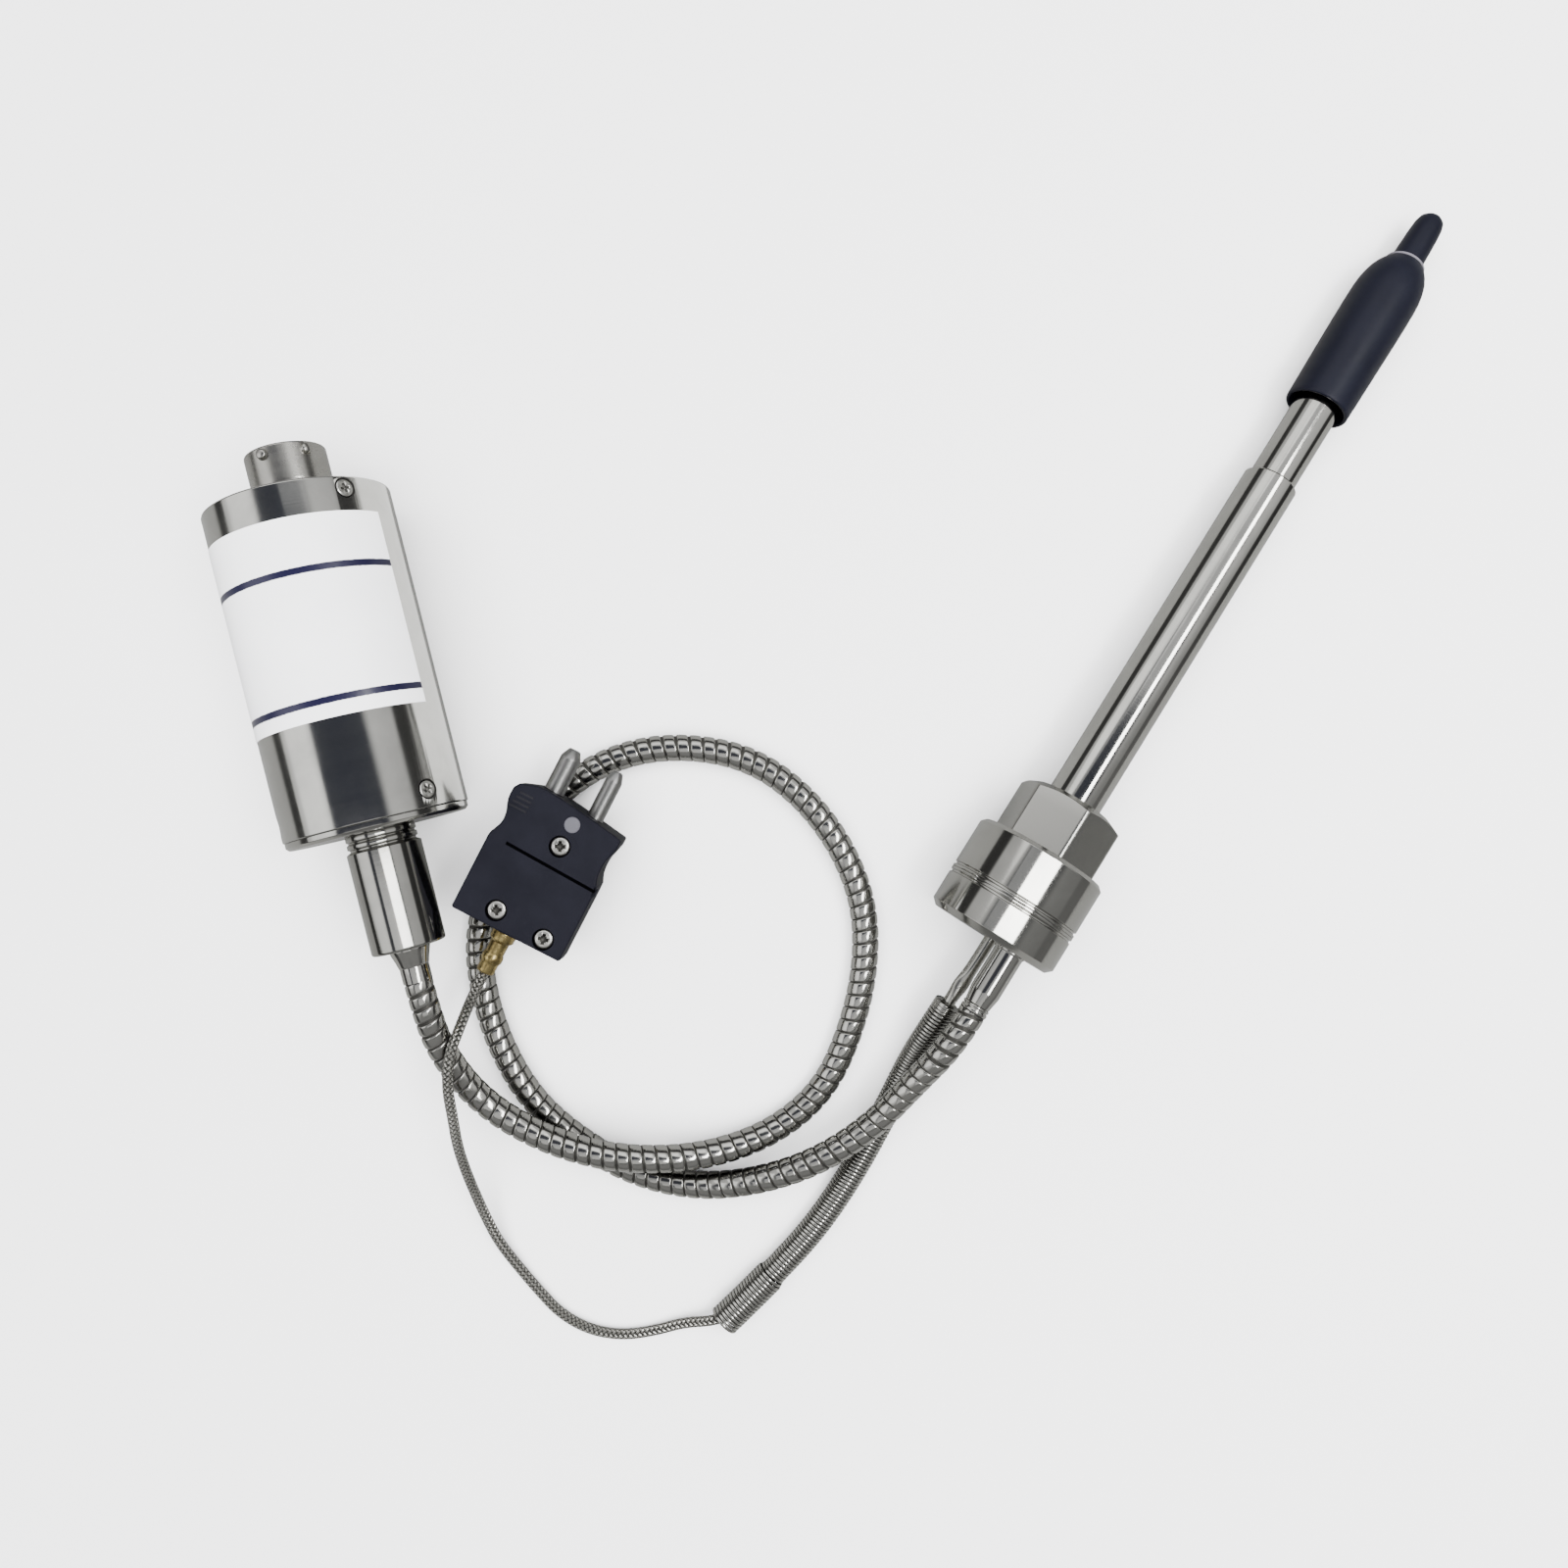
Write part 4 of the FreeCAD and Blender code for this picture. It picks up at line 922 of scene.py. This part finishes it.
v, f = hex_mesh()
hexo = make("hexagon", v, f, m_hexflat, S, weighted=True, stands_for=("hex_body",), slot="turned_steel")
hexo.data.set_sharp_from_angle(angle=math.radians(60))
lathe("front_collar", [(6.3, -13.62), (14.55, -13.62), (15.5, -14.6), (15.5, -20.0), (15.5, -25.22), (15.12, -25.36), (15.08, -25.6), (15.12, -25.84), (15.5, -25.98), (15.5, -26.58), (6.3, -26.58)],
      m_collar, S, segs=160, bevel=0.10, slot="turned_steel")
lathe("rear_collar", [(6.3, -26.62), (15.5, -26.62), (15.5, -27.22), (15.12, -27.36), (15.08, -27.6), (15.12, -27.84), (15.5, -27.98), (15.5, -31.5), (15.5, -35.0), (14.1, -36.38), (6.0, -36.4), (0, -36.4),
                      (0, -33.0), (6.3, -33.0)],
      m_collar, S, segs=160, closed=True, bevel=0.10, stands_for=("collar_cap",), slot="turned_steel")
lathe("stem_main", [(4.3, -10.0), (6.25, -10.0), (6.25, 20.0), (6.25, 55.0), (6.25, 86.95), (5.72, 87.45), (4.3, 87.45)], m_stem, S, segs=128, bevel=0.08,
      stands_for=("stem_tube",), slot="turned_steel")
NOSE = 138.8
lathe("probe_tip_body", [(0, 80.0), (4.2, 80.0), (4.2, 87.3), (5.25, 87.4), (5.25, 100.0), (5.25, 115.0), (5.55, 115.5), (5.55, 131.4), (4.6, 132.0), (3.95, 132.7), (3.95, NOSE - 0.3), (0, NOSE - 0.32)],
      m_stem, S, segs=128, closed=False, bevel=0.06, stands_for=("threaded_probe_tip",), slot="turned_steel")
thread_path = Path(np.array([tuple(stem_at(t)) for t in np.linspace(115.6, 131.2, 60)]), first=tuple(LAT))
# the thread's roots are marked deep, and the material paints them dark, as shade
me = wound_strip("probe_thread", thread_path, 6.35, 1.27, [(0.0, -0.70, 0.8), (0.12, -0.70, 0.8), (0.42, -0.08, 0.0), (0.50, 0.0, 0.0), (0.62, 0.0, 0.0), (0.70, -0.08, 0.0)], 72)
finish_mesh("probe_thread", me, m_spring, sharp=50)

SL_X, SL_U = 5.4, 0.4
Ssl = S @ Matrix.Translation(Vector((SL_X * MM, -SL_U * MM, 0)))
lathe("sleeve", [(1.7, -35.5), (3.75, -35.5), (3.75, -36.6), (3.5, -36.9), (3.5, -42.0), (3.5, -47.0), (3.42, -47.5), (2.95, -50.35), (1.7, -50.35)], m_turned, Ssl, segs=72, bevel=0.08,
      stands_for=("hose_sleeve",), slot="turned_steel")
lathe("crimp_ring", [(1.2, -50.38), (2.9, -50.38), (3.12, -50.5), (3.18, -50.75), (3.12, -51.0), (2.86, -51.2), (3.12, -51.4), (3.2, -51.75), (3.12, -52.2), (2.9, -52.38), (1.2, -52.38)], m_turned, Ssl,
      segs=64, bevel=0, stands_for=("hose_crimp_ring",), slot="turned_steel")
op = spline_points([tuple(stem_at(-35.5, 1.6, -5.6)), tuple(stem_at(-41.0, 1.55, -5.5)), tuple(place(27.8, -59.75, 11.5)), tuple(place(26.0, -61.25, 11.75)), tuple(place(22.9, -64.15, 11.05)), tuple(place(19.8, -67.2, 10.3))],
                   "outlet_line")
outlet_path = Path(op)
me = tube_mesh("outlet_tube", outlet_path, 1.5, 1.5, 40, 0.0004)
co = np.zeros(len(me.vertices) * 3)
me.vertices.foreach_get("co", co)
co = co.reshape(-1, 40, 3)
s_ = np.linspace(0, outlet_path.length, co.shape[0])
P_, T_, N_, B_ = outlet_path.at(s_)
k_ = np.exp(-((s_ / MM - (outlet_path.length / MM - 9.5)) / 2.4) ** 2)
rel = co - P_[:, None]
nn = np.einsum("ijk,ik->ij", rel, N_)
bb = np.einsum("ijk,ik->ij", rel, B_)
co = P_[:, None] + N_[:, None] * (nn * (1 - 0.42 * k_[:, None]))[..., None] + B_[:, None] * (bb * (1 + 0.22 * k_[:, None]))[..., None]
me.vertices.foreach_set("co", np.ascontiguousarray(co, dtype=np.float32).ravel())
me.update()
finish_mesh("outlet_tube", me, m_sheath, stands_for=("lead_outlet_tube",))

# ------------------------------------------------------------------ protective cap
c0, c1 = 107.7, 161.6
lathe("protective_cap_body", [(6.5, c0 + 3.0), (6.5, c0 + 0.2), (6.62, c0 + 0.03), (6.95, c0), (7.12, c0 + 0.05), (7.25, c0 + 0.2), (7.32, c0 + 0.5), (7.34, c0 + 1.2), (7.40, c0 + 5.0), (7.54, c0 + 14.0),
                              (7.64, 130.0), (7.66, 134.0), (7.62, 138.2)]
      + [(7.50, 140.2), (7.18, 142.3), (6.66, 144.2), (5.92, 145.8), (5.10, 147.1), (4.48, 147.85), (4.10, 148.15), (3.80, 148.45), (3.66, 149.0), (3.58, 152.0), (3.42, 156.5), (3.22, 159.1),
         (2.82, 160.45), (2.1, 161.24), (1.1, 161.55), (0, 161.6), (0, 141.0), (4.5, 141.0), (4.5, 134.0), (6.62, 131.6)],
      m_cap, S, segs=112, closed=True, bevel=0, body="cap", stands_for=("protective_cap",), slot="cap_plastic")
m_flash = moulded("cap_flash", (0.20, 0.19, 0.225), 0.4, 0.5, 900.0, 0.1, 0.1)
lathe("cap_flash_ring", [(3.6, 147.9), (4.45, 147.75), (4.68, 147.95), (4.62, 148.2), (4.25, 148.55), (3.6, 148.72)], m_flash, S, segs=72, bevel=0, body="cap", slot="cap_plastic")


# ------------------------------------------------------------------ plug
def catmull(pts, n=6):
    out = []
    for i in range(len(pts) - 1):
        p0 = pts[max(i - 1, 0)]
        p1, p2 = pts[i], pts[i + 1]
        p3 = pts[min(i + 2, len(pts) - 1)]
        for k in range(n):
            t = k / n
            out.append(tuple(0.5 * ((2 * p1[d]) + (-p0[d] + p2[d]) * t + (2 * p0[d] - 5 * p1[d] + 4 * p2[d] - p3[d]) * t * t + (-p0[d] + 3 * p1[d] - 3 * p2[d] + p3[d]) * t ** 3)
                             for d in (0, 1)))
    out.append(pts[-1])
    return out


def plug_outline(rear=0.0, grow=0.0):
    """Outline seen from above, mm: x forward, y left. Sides with their finger scallops, front edge a little askew."""
    left = [(0.4 + rear, 13.5), (8.0, 13.5), (15.5, 13.5), (18.6, 13.42), (20.2, 12.8), (22.2, 12.1), (24.4, 12.25), (26.4, 12.95), (28.0, 13.3), (30.2, 13.25)]
    front = [(31.5, 12.4), (32.3, 10.2), (32.95, 7.6), (32.6, 1.9), (31.9, -4.1), (31.1, -9.5), (30.6, -13.2)]
    rgt = [(30.2, -13.65), (28.4, -13.65), (26.6, -13.2), (24.6, -12.68), (22.6, -12.55), (20.6, -12.75), (18.9, -13.4), (17.6, -13.65), (8.0, -13.65), (0.4 + rear, -13.65)]
    bk = [(rear, -13.25), (rear, -6.0), (rear, 6.0), (rear, 13.1)]
    pts = catmull(left, 4) + catmull(front, 4) + catmull(rgt, 4) + bk
    return pts


def offset(pts, d):
    """Move an outline inwards by d along its own normals."""
    n = len(pts)
    area = sum(pts[i][0] * pts[(i + 1) % n][1] - pts[(i + 1) % n][0] * pts[i][1] for i in range(n))
    sgn = 1 if area > 0 else -1
    out = []
    for i in range(n):
        p, a, b = Vector(pts[i]), Vector(pts[i - 1]), Vector(pts[(i + 1) % n])
        e1, e2 = (p - a).normalized(), (b - p).normalized()
        n1, n2 = Vector((-e1.y, e1.x)) * sgn, Vector((-e2.y, e2.x)) * sgn
        q = (n1 + n2)
        if q.length < 1e-6:
            q = n1
        q.normalize()
        k = 1 / max(0.5, q.dot(n1))
        out.append((p.x + q.x * d * k, p.y + q.y * d * k))
    return out


def slab(outline, layers):
    """layers: (inward offset, z) from bottom to top."""
    v, f = [], []
    n = len(outline)
    for off, z in layers:
        for x, y in (offset(outline, off) if off else outline):
            v.append((x * MM, y * MM, z * MM))
    for a in range(len(layers) - 1):
        for k in range(n):
            k2 = (k + 1) % n
            f.append((a * n + k, a * n + k2, (a + 1) * n + k2, (a + 1) * n + k))
    f.append(tuple(range(n))[::-1])
    f.append(tuple((len(layers) - 1) * n + k for k in range(n)))
    return v, f


half = 6.35
ol = plug_outline(0.0)
v, f = slab(ol, [(0.14, 0.03), (0.0, 0.17), (0.0, half - 0.55), (0.05, half - 0.33), (0.17, half - 0.15), (0.36, half - 0.04), (0.55, half)])
cover = make("plug_top", v, f, m_plug, G, stands_for=("plug_cover",), slot="plug_plastic", weighted=True)
ob = plug_outline(-0.7)
v, f = slab(ob, [(0.85, -half), (0.66, -half + 0.04), (0.47, -half + 0.15), (0.35, -half + 0.33), (0.30, -half + 0.55), (0.12, -0.17), (0.24, -0.03)])
bottom = make("plug_bottom", v, f, m_plug, G, stands_for=("plug_base",), slot="plug_plastic", weighted=True)
cutters = []
SCREWS = ((3.9, 4.1), (2.9, -8.2), (23.05, -2.05))
for x, y in SCREWS:
    v, f = lathe_data([(0, half - 1.2), (2.45, half - 1.2), (2.50, half + 1), (0, half + 1)], 44)
    # the pocket walls take the near-black groove material: painted shade
    cutters.append(temp("pocket", v, f, G @ Matrix.Translation(Vector((x * MM, y * MM, 0))), m_groove))
v, f = lathe_data([(0, half - 0.30), (1.90, half - 0.30), (1.95, half + 1), (0, half + 1)], 44)
cutters.append(temp("pocket", v, f, G @ Matrix.Translation(Vector((28.6 * MM, -2.3 * MM, 0)))))
gv = []
for z in (half - 0.55, half + 0.5):
    for x, y in ((17.15, -16.0), (17.9, -16.0), (18.75, 9.0), (18.0, 9.0)):
        gv.append((x * MM, y * MM, z * MM))
# the groove takes the near-black groove material: painted shade
cutters.append(temp("groove", gv, [(0, 3, 2, 1), (4, 5, 6, 7), (0, 1, 5, 4), (1, 2, 6, 5), (2, 3, 7, 6), (3, 0, 4, 7)], G, m_groove))
cut(cover, cutters)
for o in (cover, bottom):
    o.data.shade_smooth()
    o.data.set_sharp_from_angle(angle=math.radians(28))
for k, ((x, y), spin) in enumerate(zip(SCREWS, (32, 14, 24))):
    screw("plug_screw_%d" % (k + 1), G @ Matrix.Translation(Vector((x * MM, y * MM, (half - 0.22) * MM))), 2.25, spin=spin, poz=True,
                           stands_for=("plug_rear_screws",) if k < 2 else ("plug_cover_screw",), slot="screw_steel")
v, f = lathe_data([(0, half - 0.06), (1.5, half - 0.07), (1.78, half - 0.12), (1.86, half - 0.3), (1.86, half - 0.5), (0, half - 0.5)], 44)
make("polarity_inlay", v, f, m_dot, G @ Matrix.Translation(Vector((28.6 * MM, -2.3 * MM, 0))), stands_for=("polarity_dot",), slot="dot_plastic", weighted=True)
for i in range(4):
    x = 26.4 + i * 1.15
    v, f = [], []
    for z, k in ((half - 0.05, 1.0), (half + 0.16, 0.35)):
        for dx, y in ((-0.34 * k, 8.0 + 0.2 * (1 - k)), (0.34 * k, 8.0 + 0.2 * (1 - k)), (0.34 * k, 12.4 - 0.35 * i - 0.2 * (1 - k)), (-0.34 * k, 12.4 - 0.35 * i - 0.2 * (1 - k))):
            v.append(((x + dx) * MM, y * MM, z * MM))
    make("plug_grip_%d" % (i + 1), v, [(0, 3, 2, 1), (4, 5, 6, 7), (0, 1, 5, 4), (1, 2, 6, 5), (2, 3, 7, 6), (3, 0, 4, 7)], m_grip, G, sharp=25, slot="plug_plastic", bevel=0.06)
for y, r, nm in ((5.7, 2.4, "plug_pin_negative"), (-5.4, 2.0, "plug_pin_positive")):
    F = G @ Matrix.Translation(Vector((0, y * MM, 0))) @ Matrix.Rotation(math.radians(90), 4, "Y")
    lathe(nm + "_pin", [(0, 20.0), (r, 20.0), (r, 31.0), (r, 40.9), (r * 0.97, 41.25), (r * 0.60, 43.15), (r * 0.52, 43.32), (0, 43.34)], m_pin, F, segs=56, closed=False,
                           bevel=0, sharp=24, stands_for=(nm,), slot="pin_metal")
F = G @ Matrix.Translation(Vector((0, 0.95 * MM, 0))) @ Matrix.Rotation(math.radians(90), 4, "Y")
ferrule = lathe("brass_ferrule", [(0.7, 2.5), (1.9, 2.5), (1.9, -0.6), (2.85, -0.75), (2.9, -1.0), (2.88, -2.7), (2.55, -3.1), (2.2, -3.4), (2.15, -6.2), (2.4, -6.6), (2.5, -7.2), (2.45, -8.0), (2.2, -8.4),
                                  (2.1, -9.0), (2.15, -10.7), (2.0, -11.05), (1.3, -11.1), (0.7, -11.1)], m_brass, F, segs=64, bevel=0.06, stands_for=("lead_ferrule",), slot="ferrule_brass")

spring_path.ring_centres()
lead_path.ring_centres()

# ------------------------------------------------------------------ CAD nodes that stay as they are
PAINT = {"receptacle_insert": m_insert, "receptacle_contacts": m_gold, "receptacle_nut": m_shell, "lower_seal_ring": m_rubber, "upper_seal_ring": m_rubber,
         "circuit_board": m_board, "board_components": m_comp, "board_posts": m_comp, "receptacle_wires": m_wire, "gauge_wires": m_wire,
         "strain_gauge_capsule": m_turned, "process_diaphragm": m_turned, "thermocouple_probe": m_sheath, "thermocouple_wires": m_wire,
         "pressure_capillary": m_sheath, "terminal_screws": m_screw}
for n, mt in PAINT.items():
    for sl in frame["nodes"][n].material_slots:
        sl.material = mt

# ------------------------------------------------------------------ floor, world and lights
me = D.meshes.new("floor")
# a flat sheet, but for a shallow hollow past the probe's tip: the stem leans that way, so the cap comes off slightly downhill
DIP_T, DIP_LEN, DIP_WIDE, DIP_DEEP, RINGS, SPOKES = 200.0, 50.0, 46.0, 3.9, 40, 144
dip_c = stem_at(DIP_T)
rings = [(i / RINGS, DIP_DEEP * MM * math.cos(math.pi / 2 * i / RINGS) ** 2) for i in range(1, RINGS + 1)] + [(1.05, 0.0), (4.0, 0.0), (200.0, 0.0)]
verts = [(dip_c[0], dip_c[1], -0.00003 - DIP_DEEP * MM)]
for r, d in rings:
    for j in range(SPOKES):
        a = 2 * math.pi * j / SPOKES
        u, v = r * DIP_LEN * MM * math.cos(a), r * DIP_WIDE * MM * math.sin(a)
        h = math.radians(43.5)
        verts.append((dip_c[0] + u * math.cos(h) - v * math.sin(h), dip_c[1] + u * math.sin(h) + v * math.cos(h), -0.00003 - d))
faces = [(0, 1 + j, 1 + (j + 1) % SPOKES) for j in range(SPOKES)]
for i in range(len(rings) - 1):
    p, q = 1 + i * SPOKES, 1 + (i + 1) * SPOKES
    faces += [(p + j, q + j, q + (j + 1) % SPOKES, p + (j + 1) % SPOKES) for j in range(SPOKES)]
me.from_pydata(verts, [], faces)
me.polygons.foreach_set("use_smooth", [True] * len(me.polygons))
floor = D.objects.new("floor", me)
bpy.context.scene.collection.objects.link(floor)
fl = Mat("floor_paper", (0.86, 0.86, 0.865), 0.75, 0.0)
fl.b.inputs["Specular IOR Level"].default_value = 0.1
tone = fl.mix(fl.span(fl.noise(fl.coords(), 6.0, 3.0, 0.5), 0.3, 0.7), (0.905, 0.905, 0.91), (0.895, 0.895, 0.90))
# painted shade: glossy rays see the floor far darker than the camera does, so the floor's reflections in the metal come
# out shaded
fl.set("Base Color", fl.mix(fl.node("ShaderNodeLightPath").outputs["Is Glossy Ray"], tone, tuple(c / OVERHEAD for c in (0.29, 0.29, 0.284))))
me.materials.append(fl.m)

world = D.worlds.new("studio")
world.use_nodes = True
bpy.context.scene.world = world
wt = world.node_tree
wt.nodes.clear()


def wn(kind, **kw):
    n = wt.nodes.new(kind)
    for k, v in kw.items():
        setattr(n, k, v)
    return n


out = wn("ShaderNodeOutputWorld")
bg = wn("ShaderNodeBackground")
tc = wn("ShaderNodeTexCoord")
sep = wn("ShaderNodeSeparateXYZ")
wt.links.new(tc.outputs["Generated"], sep.inputs[0])


def wmath(op, a, b=None, c=None):
    n = wn("ShaderNodeMath", operation=op)
    for i, v in enumerate((a, b, c)):
        if v is None:
            continue
        if isinstance(v, (int, float)):
            n.inputs[i].default_value = v
        else:
            wt.links.new(v, n.inputs[i])
    return n.outputs[0]


def wramp(fac, stops):
    r = wn("ShaderNodeValToRGB")
    r.color_ramp.interpolation = "EASE"
    el = r.color_ramp.elements
    while len(el) < len(stops):
        el.new(0.5)
    for e, (p, c) in zip(el, stops):
        e.position = p
        e.color = (c, c, c, 1) if isinstance(c, (int, float)) else (*c, 1)
    wt.links.new(fac, r.inputs["Fac"])
    return r.outputs["Color"]


# elevation 0..1 from the horizon to overhead
el = wmath("DIVIDE", wmath("ARCSINE", sep.outputs["Z"]), math.pi / 2)
band = wramp(el, [(0.0, 0.20), (0.03, 0.07), (0.20, 0.07), (0.27, 0.85), (0.55, 1.0), (0.67, (0.08, 0.085, 0.105)), (1.0, (0.06, 0.065, 0.09))])
flat = wmath("SQRT", wmath("ADD", wmath("MULTIPLY", sep.outputs["X"], sep.outputs["X"]), wmath("MULTIPLY", sep.outputs["Y"], sep.outputs["Y"])))
south = wmath("DIVIDE", wmath("MULTIPLY", sep.outputs["Y"], -1.0), wmath("MAXIMUM", flat, 0.0001))
dim = wramp(south, [(0.20, 1.0), (0.66, 0.12)])
low = wramp(south, [(0.35, 0.0), (0.66, 0.24)])
mul = wn("ShaderNodeMix", data_type="RGBA", blend_type="MULTIPLY")
mul.inputs[0].default_value = 1.0
wt.links.new(band, mul.inputs[6])
wt.links.new(dim, mul.inputs[7])
add = wn("ShaderNodeMix", data_type="RGBA", blend_type="ADD")
add.inputs[0].default_value = 1.0
wt.links.new(mul.outputs[2], add.inputs[6])
wt.links.new(low, add.inputs[7])
sky = add.outputs[2]
lp = wn("ShaderNodeLightPath")
mx = wn("ShaderNodeMix", data_type="RGBA")
wt.links.new(lp.outputs["Is Camera Ray"], mx.inputs[0])
wt.links.new(sky, mx.inputs[6])
mx.inputs[7].default_value = (1.9, 1.9, 1.905, 1)
wt.links.new(mx.outputs[2], bg.inputs["Color"])
bg.inputs["Strength"].default_value = 1.0
wt.links.new(bg.outputs[0], out.inputs["Surface"])


def softbox(name, x, y, z, aim, w, h, watts, color=(1, 1, 1), gloss=True, turn=None):
    l = D.lights.new(name, "AREA")
    l.shape = "RECTANGLE"
    l.size, l.size_y = w * MM, h * MM
    l.energy = watts
    l.color = color
    o = D.objects.new(name, l)
    bpy.context.scene.collection.objects.link(o)
    p, q = place(x, y, z), place(*aim)
    o.location = p
    o.rotation_euler = (q - p).to_track_quat("-Z", "Y").to_euler() if turn is None else (0, 0, math.radians(turn))
    o.visible_camera = False
    o.visible_glossy = gloss
    return o


def flag(o, names, keep=False):
    """A studio flag: keep a light off some pieces, or (keep) let it reach only them."""
    c = D.collections.new(o.name + "_flag")
    for n in names:
        c.objects.link(D.objects[n])
    if not keep:
        for q in c.collection_objects:
            q.light_linking.link_state = "EXCLUDE"
    o.light_linking.receiver_collection = c


HOUSING = ["housing_body", "lower_end_plate", "upper_end_plate"]
NECK = ["neck_tube", "hose_cone"]
COLLARS = ["front_collar", "rear_collar"]
flag(softbox("key", 266, -33, 500, (60, -20, 10), 460, 115, 2.8, turn=43.5), HOUSING + NECK)
flag(softbox("strip", 62, -33, 500, (0, 0, 0), 276, 84, 0.874, turn=0), NECK, keep=True)
flag(softbox("neck_panel", -183, -33, 500, (0, 0, 0), 214, 84, 0.045, turn=0), NECK, keep=True)
flag(softbox("collar_strip", 77, 1, 500, (0, 0, 0), 200, 110, 1.16, turn=-46.5), COLLARS, keep=True)
flag(softbox("collar_panel", -57, 140, 500, (0, 0, 0), 180, 110, 0.034, turn=-46.5), COLLARS, keep=True)
flag(softbox("fore", 246, 213, 505, (0, 0, 0), 250, 270, 0.17, turn=43.5), HOUSING + NECK)
card = softbox("floor_card", 17, 70, 1.0, (0, 0, 0), 166, 180, 0.14, turn=0)
card.rotation_euler = (math.pi, 0, 0)
flag(card, HOUSING, keep=True)
softbox("ring_panel", 60, 265, 500, (0, 0, 0), 260, 110, 0.036, turn=0)
softbox("ceiling", -90, -165, 530, (0, 0, 0), 440, 300, 0.30, turn=0)
softbox("left", -700, 140, 480, (0, 0, 0), 500, 600, 0.95)
softbox("north", 40, 620, 640, (20, 0, 0), 800, 400, 1.2)
softbox("fill", 0, 0, 2600, (0, 0, 0), 4000, 4000, 400.0, gloss=False)
